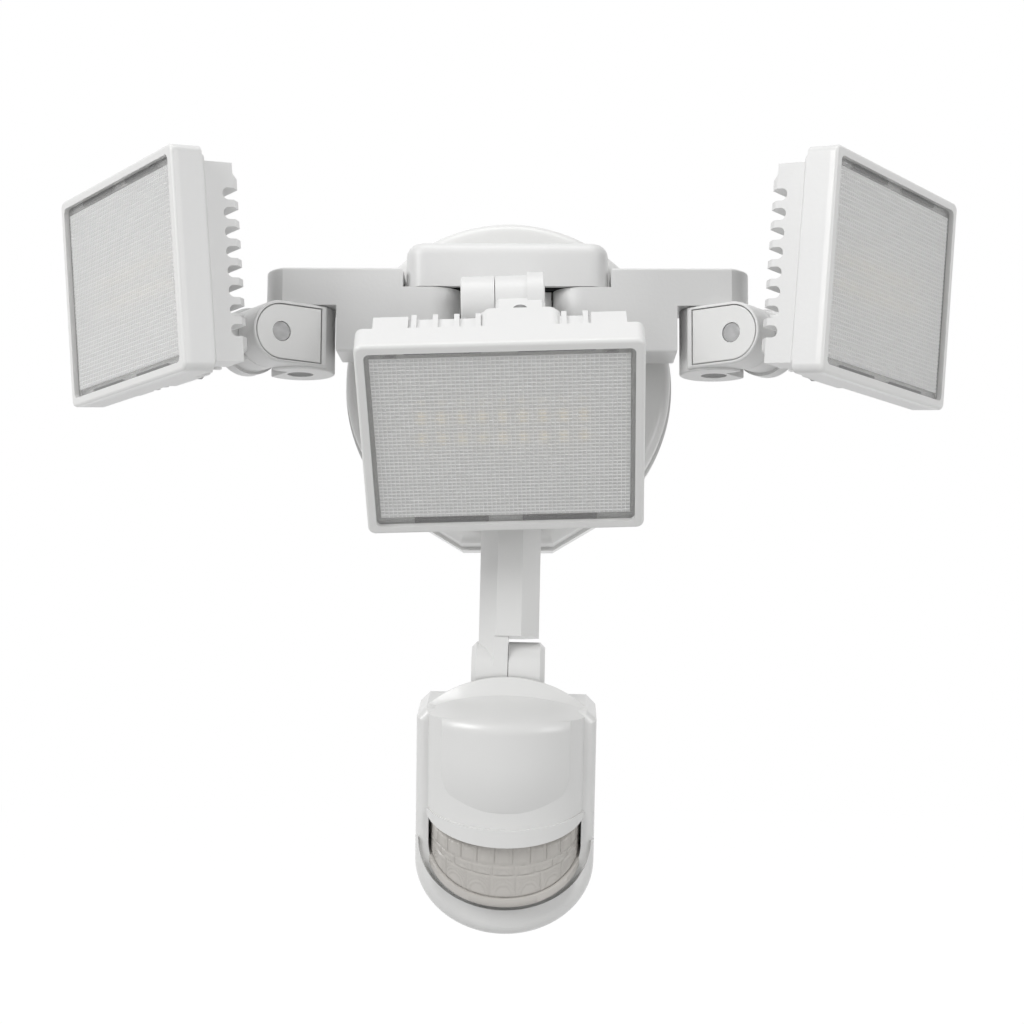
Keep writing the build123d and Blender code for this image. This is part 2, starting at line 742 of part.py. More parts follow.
def make_head_screws():
    """Four board screws from the front and two foot screws from behind."""
    screws = []
    seat = floor_depth() + 1 + board_t
    for x, z in screw_corners():
        shank = rod_y(head_screw_d / 2 - fit_gap, fin_depth() - 2, seat, x, z)
        head = rod_y(head_screw_head_d / 2, seat, seat + head_screw_head_t, x, z)
        key = rod_y(head_screw_head_d / 5, seat + head_screw_head_t / 2, seat + head_screw_head_t, x, z)
        screws.append(shank + head - key)
    for side in (-1, 1):
        z = side * foot_screw_z
        seat = rear_depth() - foot_t
        shank = rod_y(foot_screw_d / 2 - fit_gap, seat, seat + foot_t + foot_screw_depth - 0.5, bracket_x(), z)
        head = rod_y(foot_screw_head_d / 2, seat - head_screw_head_t, seat, bracket_x(), z)
        key = rod_y(foot_screw_head_d / 5, seat - head_screw_head_t, seat - head_screw_head_t / 2,
                    bracket_x(), z)
        screws.append(shank + head - key)
    return screws


# ================================================================ stem and sensor
def octagon(across_flats):
    return Rot(0, 0, 22.5) * RegularPolygon(across_flats / 2 / cos(radians(22.5)), 8)


def make_stem():
    """Eight-sided stem: round spigot above, hinge ear on its left half below."""
    low, high = socket_span()
    stem = Pos(0, 0, stem_foot) * extrude(octagon(stem_af), amount=low - face_gap - stem_foot)
    stem = chamfer(edges_at(stem, Axis.Z, low - face_gap), stem_edge)
    spigot = rod_z(spigot_r, stem_foot, low + spigot_floor + stem_nut_t)
    ear = side_slab(Circle(hinge_r), -hinge_w, -face_gap / 2)
    ear = chamfer(edges_at(ear, Axis.X, -hinge_w), hinge_chamfer)
    neck_r = stem_af / 2
    neck = extrude(octagon(stem_af), amount=stem_foot + 1)
    neck &= block(-neck_r, -face_gap / 2, -hinge_r, hinge_r, 0, stem_foot + 1)
    stem = stem + spigot + ear + neck
    stem -= rod_z(lead_bore_d / 2, stem_foot + 4, high)
    stem -= rod_x(hinge_screw_d / 2 + fit_gap, -hinge_w - 1, 0)
    stem -= rod_x(hinge_head_d / 2 + 0.2, -hinge_w - 1, -hinge_w + hinge_head_t + 0.2)
    return stem


def make_stem_nut():
    low, _ = socket_span()
    seat = low + spigot_floor
    ring = rod_z(stem_nut_r, seat + 0.1, seat + stem_nut_t)
    ring -= rod_z(spigot_r + fit_gap, seat, seat + stem_nut_t + 1)
    for turn in range(0, 360, 90):
        ring -= Rot(0, 0, turn) * block(stem_nut_r - 1.4, stem_nut_r + 1, -1.2, 1.2, seat, seat + 9)
    return ring


def make_hinge_screw():
    """Screw through both ears and its nut."""
    inner = -hinge_w + hinge_head_t + 0.1
    shank = rod_x(hinge_screw_d / 2, inner - hinge_head_t / 2, hinge_w - 0.4)
    head = rod_x(hinge_head_d / 2, inner - hinge_head_t, inner)
    slot = block(inner - hinge_head_t, inner - hinge_head_t / 2, -0.6, 0.6, -3, 3)
    outline = hexagon(hinge_nut_af) - Circle(hinge_screw_d / 2 + fit_gap)
    nut = side_slab(outline, hinge_w - hinge_nut_t - 0.2, hinge_w - 0.2)
    return [shank + head - slot, nut]


def sensor_outline(inset):
    """Front view: chamfered shoulders, straight sides and a round bottom."""
    half = sensor_w / 2 - inset
    top = sensor_top - inset
    drop = sensor_side_end - sensor_bottom - inset
    lines = Polyline((half, sensor_side_end), (half, top - shoulder), (half - shoulder, top),
                     (-half + shoulder, top), (-half, top - shoulder), (-half, sensor_side_end))
    bottom = EllipticalCenterArc((0, sensor_side_end), half, drop, 180, arc_size=180)
    return make_face(Curve() + [lines, bottom])


def arch_outline(top, r):
    """Circle segment that stands in the shell's roof."""
    foot = sensor_top - sensor_wall / 2
    half = sqrt(r * r - (r - top + foot) ** 2)
    arc = ThreePointArc((-half, foot), (0, top), (half, foot))
    return make_face(Curve() + [Line((half, foot), (-half, foot)), arc])


def hood_plan(width, depth, back):
    """Plan of a half-round front: straight back, half ellipse in front."""
    bulge = Pos(0, -back) * Ellipse(width / 2, depth - back)
    return bulge & Pos(0, -depth) * Rectangle(width + 2, 2 * (depth - back))


def u_outline(width, top, side_end, bottom):
    """Front view with a flat top and a half-ellipse bottom."""
    half = width / 2
    lines = Polyline((half, side_end), (half, top), (-half, top), (-half, side_end))
    arc = EllipticalCenterArc((0, side_end), half, side_end - bottom, 180, arc_size=180)
    return make_face(Curve() + [lines, arc])


def hood_solid(width, depth, back, outline):
    """Half-round column cut to a front-view outline."""
    low = sensor_bottom - 1
    column = Pos(0, 0, low) * extrude(hood_plan(width, depth, back), amount=crest_top - low)
    return column & front_slab(outline, back - 1, depth + 1)


def turned(profile):
    """Half section turned about the shield's upright axis."""
    return Pos(0, -shield_axis) * revolve(Plane.XZ * make_face(Curve() + profile), Axis.Z)


def cap_sink(r):
    """How far the cap has fallen at a distance from its axis."""
    return cap_h * (1 - sqrt(1 - (r / cap_r) ** 2))


def cap():
    """Column with the elliptical cap of shield and hood, which meets the arch of the seam."""
    top = brow_top + cap_sink(sensor_seam - shield_axis)
    low = sensor_bottom
    arc = EllipticalCenterArc((0, top - cap_h), cap_r, cap_h, 0, arc_size=90)
    return turned([Line((0, low), (cap_r, low)), Line((cap_r, low), (cap_r, top - cap_h)), arc,
                   Line((0, top), (0, low))])


def shield_head():
    """The shield's column with its top edge rounded into the cap."""
    head = cap() & Pos(0, -shield_axis) * rod_z(shield_r, sensor_bottom, crest_top)
    z = brow_top + cap_sink(sensor_seam - shield_axis) - cap_sink(shield_r)
    return fillet(edges_at(head, Axis.Z, z), shield_fold)


def shield_foot():
    """Column that draws in below the shield until it meets the hood."""
    reach = hood_depth - shield_axis
    drop = shield_r - reach
    h = shield_break - shield_end
    arc_r = (h * h + drop * drop) / (2 * drop)
    mid = shield_r - arc_r + sqrt(arc_r ** 2 - h * h / 4)
    arc = ThreePointArc((reach, shield_end), (mid, shield_break - h / 2), (shield_r, shield_break))
    return turned([Line((0, shield_end), (reach, shield_end)), arc, Line((shield_r, shield_break), (shield_r, 0)),
                   Line((shield_r, 0), (0, 0)), Line((0, 0), (0, shield_end))])


def make_shield():
    """Raised, domed shield of the hood."""
    top = 2 * shield_corner
    outline = Pos(0, (shield_end + top) / 2) * RectangleRounded(shield_w, top - shield_end, shield_corner)
    shield = front_slab(outline, sensor_seam, shield_r) & shield_foot()
    sides = [e for e in shield.edges() if e.bounding_box().min.Y > -hood_depth - shield_edge
             and e.center().Y < -sensor_seam - 1 and abs(e.center().X) > shield_w / 2 - shield_corner]
    shield = fillet(sides, shield_edge)
    return shield & shield_head()


def hood_line(rise=0):
    """Visor's edge, or a line above it."""
    return u_outline(hood_w + 2 * rise, crest_top, hood_edge_side + rise, hood_edge_mid + rise)


def make_sensor_shell():
    """Back shell with the arched crest, the hinge ear and the dial bay in its underside."""
    shell = front_slab(sensor_outline(0), sensor_back, sensor_seam)
    shell = fillet(edges_at(shell, Axis.Y, -sensor_back), sensor_round)
    shell -= front_slab(sensor_outline(sensor_wall), sensor_back + sensor_wall, sensor_seam)
    crest = arch_outline(crest_top, crest_r)
    crest_front = crest_depth + crest_t
    shell += front_slab(crest, crest_depth, crest_front)
    shell += loft([Plane.XZ.offset(crest_front) * crest,
                   Plane.XZ.offset(sensor_seam) * arch_outline(brow_top, brow_r)], ruled=True)
    shell -= rod_x(hinge_scoop, -hinge_w - 0.6, face_gap / 2)
    foot = sensor_top - sensor_wall + 0.2
    ear = side_slab(Circle(hinge_r) + Pos(0, foot / 2) * Rectangle(2 * hinge_r, -foot), face_gap / 2, hinge_w)
    ear = chamfer(edges_at(ear, Axis.X, hinge_w), hinge_chamfer)
    shell += ear
    shell -= rod_x(hinge_screw_d / 2 + fit_gap, 0, hinge_w + 1)
    shell -= rod_x(hinge_nut_af / sqrt(3) + 0.3, hinge_w - hinge_nut_t - 0.4, hinge_w + 1)
    for x, z in post_places():
        shell += rod_y(post_r, sensor_back + sensor_wall - 0.5, board_depth, x, z)
    # dial bay: a dropped roof with three stem holes
    bay = block(-bay_w / 2 - bay_wall, bay_w / 2 + bay_wall, -bay_front - bay_wall, -sensor_back - 1,
                sensor_bottom, bay_roof + bay_wall)
    shell += bay & front_slab(sensor_outline(sensor_wall / 2), sensor_back, sensor_seam)
    shell -= block(-bay_w / 2, bay_w / 2, -bay_front, -sensor_back - sensor_wall, sensor_bottom - 1, bay_roof)
    for x in dial_places():
        shell -= rod_z(dial_stem_r + fit_gap, bay_roof - 1, bay_roof + bay_wall + 1, x, -dial_y())
    return shell


def post_places():
    x = board_w / 2 - post_inset
    z = board_h / 2 - post_inset
    return [(sx * x, board_height + sz * z) for sx in (-1, 1) for sz in (-1, 1)]


def dial_places():
    return [dial_pitch * i for i in (-1, 0, 1)]


def dial_y():
    return (bay_front + sensor_back + sensor_wall) / 2


def make_dial(x):
    """Small knurled knob with a pointer groove and its stem."""
    low = bay_roof - face_gap - dial_t
    knob = rod_z(dial_r, low, bay_roof - face_gap)
    knob = chamfer(edges_at(knob, Axis.Z, low), 0.4)
    for turn in range(0, 360, 30):
        knob -= Rot(0, 0, turn) * rod_z(0.35, low - 1, bay_roof, dial_r, 0)
    knob -= block(-0.4, 0.4, -dial_r - 1, 0.5, low, low + 0.8)
    stem = rod_z(dial_stem_r, bay_roof - face_gap - 0.5, bay_roof + dial_stem_l)
    return Pos(x, -dial_y(), 0) * (knob + stem)


def make_sensor_front():
    """Front shell: hood with domed shield and visor lip, window, and rim round the lens's foot."""
    front = front_slab(sensor_outline(0), sensor_seam, sensor_face)
    front = fillet(edges_at(front, Axis.Y, -sensor_face), sensor_round)
    # swollen rim below
    rim_face = sensor_face + rim_rise
    rim = front_slab(sensor_outline(0), sensor_seam, rim_face)
    rim = fillet(edges_at(rim, Axis.Y, -rim_face), rim_round)
    rim &= block(-sensor_w, sensor_w, -rim_face, -sensor_seam, sensor_bottom - 1, rim_side_end)
    rim -= front_slab(u_outline(rim_w, crest_top, rim_side_end, rim_bottom), sensor_seam, rim_face)
    front += rim
    # hood, lip and shield
    hood = hood_solid(hood_w, hood_depth, sensor_seam, hood_line())
    hood += hood_solid(hood_w + lip_rise, hood_depth + lip_rise, sensor_seam, hood_line() - hood_line(lip_h))
    front += hood & cap()
    front += make_shield()
    # hollow of the hood, cavity behind the face, and the window under the visor
    inner_w = lens_w + 2 * lens_gap
    window_foot = dome_bottom - 2 * lens_gap
    inner_line = u_outline(inner_w, sensor_top - sensor_wall - 5, dome_side_end, window_foot)
    front -= hood_solid(inner_w, lens_depth + lens_gap, lens_back, inner_line)
    front -= front_slab(sensor_outline(sensor_wall), sensor_seam - 1, sensor_face - sensor_wall)
    window = u_outline(window_w, hood_edge_side + lip_h, dome_side_end, window_foot) - hood_line()
    front -= front_slab(window, sensor_seam, sensor_face)
    return front


def make_sensor_lens():
    """Curved sheet of lenslets in the window, thicker at its foot."""
    line = u_outline(lens_w, hood_edge_side + 2, dome_side_end, dome_bottom)
    lens = hood_solid(lens_w, lens_depth, lens_back, line)
    foot = line - u_outline(lens_w + 1, crest_top, dome_side_end + flange_h, dome_bottom + flange_h)
    lens += hood_solid(lens_w + 2 * flange_rise, lens_depth + flange_rise, lens_back, foot)
    inner = hood_solid(lens_w - 2 * dome_t, lens_depth - dome_t, lens_back - 1,
                       u_outline(lens_w - 2 * dome_t, hood_edge_side + 20, dome_side_end,
                                 dome_bottom + dome_t))
    return lens - inner


def make_sensor_board():
    board = front_slab(Pos(0, board_height) * RectangleRounded(board_w, board_h, 2),
                       board_depth, board_depth + sensor_board_t)
    return board - block(-bay_w / 2 - 2, bay_w / 2 + 2, -20, 20, sensor_bottom, bay_roof + 6)


def make_detector():
    """Metal-can infrared detector on the board, window forward."""
    base = board_depth + sensor_board_t
    can = rod_y(detector_r, base, base + detector_t, 0, detector_z)
    can += rod_y(detector_r + 0.6, base, base + 0.8, 0, detector_z)
    window = block(-1.5, 1.5, -base - detector_t, -base - detector_t + 0.4, detector_z - 1.3, detector_z + 1.3)
    return can - window


# ================================================================ placing and writing
def side_place():
    """Frame of the left knuckle: origin on the swivel axis at the tilt axis's height."""
    depth = (box_front + arm_back()) / 2
    return Pos(-side_axis(), -depth, side_height()) * Rot(0, 0, -side_turn)


def side_height():
    return arm_ceiling - face_gap - knuckle_r


def tilt_place(angle):
    return Pos(0, tilt_y(), 0) * Rot(angle, 0, 0)


def sensor_place():
    return stem_place() * Rot(sensor_tilt, 0, 0)


SWIVEL_PIECES = {"knuckle": make_knuckle, "knuckle_plate": make_plate, "tilt_bolt": make_tilt_bolt,
                 "knuckle_plug": make_plug}
HEAD_PIECES = {"bracket": make_bracket, "heat_sink": make_housing, "bezel": make_bezel,
               "lens": make_lens, "lens_seal": make_seal, "led_board": make_led_board,
               "leds": make_leds, "screws": make_head_screws}


def solids_of(shape):
    """List of plain solids, whatever was made."""
    if isinstance(shape, (list, tuple)):
        return [solid for item in shape for solid in solids_of(item)]
    return list(shape.solids())


def write(name, solids):
    shape = solids[0] if len(solids) == 1 else Compound(children=solids)
    shape.label = name
    export_step(shape, f"parts/{name}.step")
    print(f"{name:24s} {len(solids):3d} solids {sum(s.volume for s in solids):10.1f} mm3")


def place(solids, location, mirrored=False):
    moved = [location * solid for solid in solids]
    return [mirror(solid, about=Plane.YZ) for solid in moved] if mirrored else moved


def write_heads():
    """The same knuckle and head three times: left, its mirror image right, upside down in the middle."""
    swivel = {name: solids_of(make()) for name, make in SWIVEL_PIECES.items()}
    head = {name: solids_of(make()) for name, make in HEAD_PIECES.items()}
    units = (("left", side_place(), side_tilt, False), ("right", side_place(), side_tilt, True),
             ("centre", centre_place(), -centre_tilt, False))
    screws = []
    for unit, location, tilt, mirrored in units:
        for name, solids in swivel.items():
            write(f"{unit}_{name}", place(solids, location, mirrored))
        for name, solids in head.items():
            write(f"{unit}_{name}", place(solids, location * tilt_place(tilt), mirrored))
        screws += place(solids_of(make_swivel_screw()), location, mirrored)
    write("swivel_screws", screws)


def write_fixture():
    write("canopy_base", solids_of(make_canopy_base()))
    write("wall_gasket", solids_of(make_wall_gasket()))
    write("crossbar", solids_of(make_crossbar()))
    write("canopy_cover", solids_of(make_canopy_cover()))
    write("canopy_screws", solids_of(make_canopy_screws()))
    write("driver_box", solids_of(cut_arm_screw_ways(make_box())))
    write("led_driver", solids_of(make_driver()))
    write("left_arm", solids_of(make_arm(-1)))
    write("right_arm", solids_of(make_arm(1)))
    write("arm_screws", solids_of(make_arm_screws()))


def write_sensor():
    for name, make in (("sensor_stem", make_stem), ("stem_nut", make_stem_nut),
                       ("hinge_screw", make_hinge_screw)):
        write(name, place(solids_of(make()), stem_place()))
    for name, make in (("sensor_shell", make_sensor_shell), ("sensor_front", make_sensor_front),
                       ("sensor_lens", make_sensor_lens), ("sensor_board", make_sensor_board),
                       ("pir_detector", make_detector)):
        write(name, place(solids_of(make()), sensor_place()))
    for name, x in zip(("time_dial", "range_dial", "dusk_dial"), dial_places()):
        write(name, place(solids_of(make_dial(x)), sensor_place()))


def main():
    os.makedirs("parts", exist_ok=True)
    write_fixture()
    write_heads()
    write_sensor()


if __name__ == "__main__":
    main()
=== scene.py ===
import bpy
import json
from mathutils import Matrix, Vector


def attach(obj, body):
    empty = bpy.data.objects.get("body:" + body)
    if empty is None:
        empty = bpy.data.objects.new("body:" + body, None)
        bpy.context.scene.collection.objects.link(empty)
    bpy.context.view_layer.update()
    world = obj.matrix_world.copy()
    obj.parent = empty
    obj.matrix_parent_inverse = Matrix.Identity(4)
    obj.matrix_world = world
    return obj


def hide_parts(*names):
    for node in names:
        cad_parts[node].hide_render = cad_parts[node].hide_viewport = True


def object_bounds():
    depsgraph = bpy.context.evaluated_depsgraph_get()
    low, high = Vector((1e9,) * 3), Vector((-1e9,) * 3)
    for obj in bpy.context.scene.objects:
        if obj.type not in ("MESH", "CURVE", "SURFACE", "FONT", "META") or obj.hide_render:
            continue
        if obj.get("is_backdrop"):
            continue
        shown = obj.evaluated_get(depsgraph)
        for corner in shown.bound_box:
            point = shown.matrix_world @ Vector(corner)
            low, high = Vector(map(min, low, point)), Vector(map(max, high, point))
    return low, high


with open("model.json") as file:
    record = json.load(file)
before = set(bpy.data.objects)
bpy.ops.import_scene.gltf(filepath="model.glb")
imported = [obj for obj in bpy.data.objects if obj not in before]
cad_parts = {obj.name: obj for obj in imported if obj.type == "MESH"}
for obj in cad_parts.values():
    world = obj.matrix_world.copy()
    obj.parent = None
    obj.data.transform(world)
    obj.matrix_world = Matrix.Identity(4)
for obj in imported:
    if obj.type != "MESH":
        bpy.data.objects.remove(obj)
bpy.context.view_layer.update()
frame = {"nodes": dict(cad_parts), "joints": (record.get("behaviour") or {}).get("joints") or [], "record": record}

import json
from math import cos, pi, radians, sin, sqrt

import bmesh
import bpy
from bpy.props import FloatProperty, FloatVectorProperty, IntProperty, PointerProperty
from mathutils import Matrix, Vector

bl_info = {
    "name": "Motion Sensor Security Light",
    "version": (1, 0, 0),
    "blender": (4, 5, 0),
    "location": "3D View > Sidebar > Security Light",
    "description": "Finishes a wall light with three LED heads and a motion sensor",
    "category": "Object",
}

MM = 0.001
UNITS = ("left", "right", "centre")
ACRYLIC_IOR = 1.49


# ------------------------------------------------------------------ sizes and colours
def length(name, description, default):
    return FloatProperty(name=name, description=description, default=default * MM, min=0.0,
                         unit="LENGTH", subtype="DISTANCE", precision=4)


def colour(name, description, default):
    return FloatVectorProperty(name=name, description=description, default=default, size=3,
                               min=0.0, max=1.0, subtype="COLOR")


def angle(name, description, default):
    return FloatProperty(name=name, description=description, default=radians(default),
                         unit="ROTATION", subtype="ANGLE")


class SECLIGHT_PG_head(bpy.types.PropertyGroup):
    """Sizes of one LED head, measured from its tilt axis."""
    width: length("Width", "Width of the head's front", 97.0)
    height: length("Height", "Height of the head's front", 77.6)
    rise: length("Rise", "Middle of the head above the tilt axis", 18.5)
    front: length("Front", "Depth of the clear sheet's face in front of the tilt axis", 54.8)
    sheet: length("Sheet", "Thickness of the clear sheet", 2.0)
    rim_inset: length("Rim inset", "Clear sheet's edge in from the head's side", 1.35)
    corner: length("Sheet corner", "Corner radius of the clear sheet", 1.4)
    step: length("Step", "Sheet's back face in front of its seat on the seal", 0.4)
    prism_inset: length("Prism inset", "Prism field's edge in from the head's top and bottom", 6.0)
    prism_side: length("Prism side inset", "Prism field's edge in from the head's sides", 4.8)
    prism_pitch: length("Prism pitch", "Width of one prism", 1.5)
    prism_rise: length("Prism rise", "Height of one prism", 0.35)
    flank: length("Prism flank", "Width of a prism's upper and lower flanks", 0.27)
    side_flank: length("Prism side flank", "Width of a prism's left and right flanks", 0.17)
    window: length("Clip window", "Length of a dark clip window in the rim", 26.0)
    window_height: length("Clip window height", "Height of a clip window", 1.6)
    window_inset: length("Clip window inset", "Clip window's edge in from the head's side", 3.2)
    window_offset: length("Clip window offset", "Clip window's middle off the head's", 19.0)
    window_depth: length("Clip window depth", "Clip window's face behind the sheet's face", 0.3)
    window_foot: length("Clip window foot", "Clip window's back in front of the sheet's seat", 0.5)
    window_corner: length("Clip window corner", "Corner radius of a clip window", 0.3)
    side_turn: angle("Side turn", "Outward turn of the two side heads", 55.0)
    side_tilt: angle("Side tilt", "Downward tilt of the two side heads", 5.3)
    centre_tilt: angle("Centre tilt", "Downward tilt of the centre head", 43.0)
    centre_lean: angle("Centre lean", "Sideways lean of the centre head", -1.7)


class SECLIGHT_PG_led(bpy.types.PropertyGroup):
    """Sizes of the emitters on each head's board."""
    per_row: IntProperty(name="Per row", description="Emitters in one row", default=9, min=1)
    pitch: length("Pitch", "Distance between emitters in a row", 7.0)
    row_gap: length("Row gap", "Distance between the two rows", 9.0)
    base: length("Base", "Depth of the board's face in front of the tilt axis", 45.7)
    side: length("Side", "Side of one emitter", 3.0)
    thickness: length("Thickness", "Thickness of one emitter", 0.9)
    corner: length("Corner", "Corner radius of one emitter", 0.35)
    phosphor: length("Phosphor", "Radius of the yellow phosphor", 1.4)
    phosphor_sink: length("Phosphor sink", "Phosphor's foot below the emitter's face", 0.1)
    phosphor_rise: length("Phosphor rise", "Phosphor's face above the emitter's face", 0.06)
    pad_width: length("Pad width", "Width of one solder pad", 0.5)
    pad_height: length("Pad height", "Height of one solder pad", 2.0)
    pad_corner: length("Pad corner", "Corner radius of one solder pad", 0.1)
    pad_out: length("Pad out", "Pad's middle out from the emitter's side", 0.15)
    pad_thickness: length("Pad thickness", "Thickness of one solder pad", 0.15)
    # painted glow: strength of the emission that makes the unlit phosphor shine
    painted_glow: FloatProperty(name="Glow", description="Strength of the phosphor's fluorescence",
                        default=0.9, min=0.0)


class SECLIGHT_PG_sensor(bpy.types.PropertyGroup):
    """Sizes of the sensor's window, measured from the hinge axis."""
    width: length("Width", "Width of the lens", 53.6)
    depth: length("Depth", "Depth of the lens's middle", 28.5)
    back: length("Back", "Depth where the lens's curve starts", 10.0)
    sheet: length("Sheet", "Thickness of the lens", 1.3)
    top: length("Top", "Drop from the hinge to the lens's hidden upper edge", 45.2)
    side_end: length("Side end", "Drop from the hinge to where the lens's sides end", 60.0)
    bottom: length("Bottom", "Drop from the hinge to the lens's foot", 80.8)
    foot_height: length("Foot height", "Height of the thick edge along the foot", 3.2)
    foot_rise: length("Foot rise", "Thick edge out from the sheet", 1.0)
    relief: length("Relief", "Height of the lenslets", 0.4)
    hood_side: length("Hood side", "Drop from the hinge to the hood's edge at its sides", 47.6)
    hood_middle: length("Hood middle", "Drop from the hinge to the middle of the hood's edge",
                        58.1)
    hood_fade: length("Hood fade", "Height under the hood's edge where the lens widens", 3.0)
    foot_corner: length("Foot corner", "Bevel of the thick edge", 0.35)
    squareness: FloatProperty(name="Squareness", default=3.0, min=2.0,
                              description="Power of the lens's plan under the hood")
    spread: length("Spread", "Lens wider on each side under the hood", 0.55)
    columns: IntProperty(name="Columns", description="Lenslets in the upper row",
                         default=13, min=3)
    tilt: angle("Tilt", "Forward tilt of the sensor", 15.0)
    lean: angle("Lean", "Sideways lean of the stem", 0.9)


class SECLIGHT_PG_colours(bpy.types.PropertyGroup):
    """Colours of the finishes."""
    cast: colour("Cast parts", "White powder coat of the cast parts", (0.80, 0.80, 0.795))
    plastic: colour("Mouldings", "White plastic mouldings", (0.82, 0.82, 0.81))
    lens: colour("Clear sheet", "Clear prismatic sheet", (0.95, 0.95, 0.945))
    milky: colour("Sensor lens", "Milky sheet of lenslets", (0.66, 0.635, 0.60))
    steel: colour("Steel", "Dull zinc-plated steel", (0.26, 0.26, 0.26))
    rubber: colour("Rubber", "Grey rubber", (0.30, 0.30, 0.30))
    # painted shade: the near-black of the clip windows stands in for the shade seen through them
    dark: colour("Dark plastic", "Black plastic in the clip windows", (0.02, 0.02, 0.02))
    phosphor: colour("Phosphor", "Yellow phosphor of the emitters", (0.90, 0.62, 0.12))
    emitter: colour("Emitter", "White body of the emitters", (0.75, 0.74, 0.70))
    mask: colour("LED board", "White solder mask of the LED boards", (0.88, 0.88, 0.86))
    board: colour("Board", "Green circuit board", (0.03, 0.16, 0.06))
    can: colour("Can", "Plated can of the infrared detector", (0.6, 0.6, 0.62))
    potting: colour("Potting", "Black potted case of the LED driver", (0.03, 0.03, 0.032))
    dial: colour("Dials", "Grey plastic of the setting dials", (0.25, 0.25, 0.255))
    seal: colour("Seal", "Pale silicone frame behind the clear sheet", (0.62, 0.62, 0.61))
    floor: colour("Floor", "Pale studio floor", (0.6, 0.6, 0.6))


# ------------------------------------------------------------------ node groups
def new_group(name, inputs, outputs):
    """Empty shader node group with named sockets."""
    group = bpy.data.node_groups.new(name, "ShaderNodeTree")
    for label, kind, default in inputs:
        socket = group.interface.new_socket(name=label, in_out="INPUT", socket_type=kind)
        socket.default_value = default
    for label, kind in outputs:
        group.interface.new_socket(name=label, in_out="OUTPUT", socket_type=kind)
    return group, group.nodes.new("NodeGroupInput"), group.nodes.new("NodeGroupOutput")


def add(tree, kind, sockets=None, **properties):
    """New node with its properties and its input sockets, by name or index, set."""
    node = tree.nodes.new(kind)
    for key, value in properties.items():
        setattr(node, key, value)
    for key, value in (sockets or {}).items():
        node.inputs[key].default_value = value
    return node


COLOUR, NUMBER = "NodeSocketColor", "NodeSocketFloat"
MIX_FIRST, MIX_SECOND, MIX_RESULT = 6, 7, 2     # colour sockets of a Mix node


def make_moulded_group():
    """Moulded or coated surface: mottled colour, uneven gloss, orange-peel height."""
    group, start, end = new_group(
        "moulded surface",
        (("Colour", COLOUR, (0.8, 0.8, 0.8, 1)), ("Shade", COLOUR, (0.7, 0.7, 0.7, 1)),
         ("Scale", NUMBER, 900.0), ("Mottle", NUMBER, 0.3), ("Roughness", NUMBER, 0.35),
         ("Roughness Spread", NUMBER, 0.08)),
        (("Colour", COLOUR), ("Roughness", NUMBER), ("Height", NUMBER)))
    link = group.links.new
    place = add(group, "ShaderNodeTexCoord")
    fine = add(group, "ShaderNodeTexNoise", {"Detail": 3.0, "Roughness": 0.55})
    broad = add(group, "ShaderNodeTexNoise", {"Scale": 26.0, "Detail": 4.0, "Roughness": 0.6})
    link(place.outputs["Object"], fine.inputs["Vector"])
    link(place.outputs["Object"], broad.inputs["Vector"])
    link(start.outputs["Scale"], fine.inputs["Scale"])
    amount = add(group, "ShaderNodeMath", operation="MULTIPLY")
    link(broad.outputs["Fac"], amount.inputs[0])
    link(start.outputs["Mottle"], amount.inputs[1])
    mix = add(group, "ShaderNodeMix", data_type="RGBA")
    link(amount.outputs[0], mix.inputs["Factor"])
    link(start.outputs["Colour"], mix.inputs[MIX_FIRST])
    link(start.outputs["Shade"], mix.inputs[MIX_SECOND])
    spread = add(group, "ShaderNodeMath", operation="MULTIPLY_ADD")
    centred = add(group, "ShaderNodeMath", {1: 0.5}, operation="SUBTRACT")
    link(broad.outputs["Fac"], centred.inputs[0])
    link(centred.outputs[0], spread.inputs[0])
    link(start.outputs["Roughness Spread"], spread.inputs[1])
    link(start.outputs["Roughness"], spread.inputs[2])
    link(mix.outputs[MIX_RESULT], end.inputs["Colour"])
    link(spread.outputs[0], end.inputs["Roughness"])
    link(fine.outputs["Fac"], end.inputs["Height"])
    return group


def make_painted_shade_group():
    """Painted shade: darkens the colour towards a shade colour in seams and inner corners, which ambient occlusion
    finds.
    """
    group, start, end = new_group(
        "painted crevice shade",
        (("Colour", COLOUR, (0.8, 0.8, 0.8, 1)), ("Dust", COLOUR, (0.4, 0.39, 0.37, 1)),
         ("Distance", NUMBER, 0.002), ("Amount", NUMBER, 0.35)),
        (("Colour", COLOUR),))
    link = group.links.new
    # painted shade: the ambient occlusion finds the seams and inner corners whose colour is darkened
    shade = add(group, "ShaderNodeAmbientOcclusion", samples=6)
    link(start.outputs["Distance"], shade.inputs["Distance"])
    inverse = add(group, "ShaderNodeMath", {0: 1.0}, operation="SUBTRACT")
    link(shade.outputs["AO"], inverse.inputs[1])
    amount = add(group, "ShaderNodeMath", operation="MULTIPLY")
    link(inverse.outputs[0], amount.inputs[0])
    link(start.outputs["Amount"], amount.inputs[1])
    mix = add(group, "ShaderNodeMix", data_type="RGBA")
    link(amount.outputs[0], mix.inputs["Factor"])
    link(start.outputs["Colour"], mix.inputs[MIX_FIRST])
    link(start.outputs["Dust"], mix.inputs[MIX_SECOND])
    link(mix.outputs[MIX_RESULT], end.inputs["Colour"])
    return group


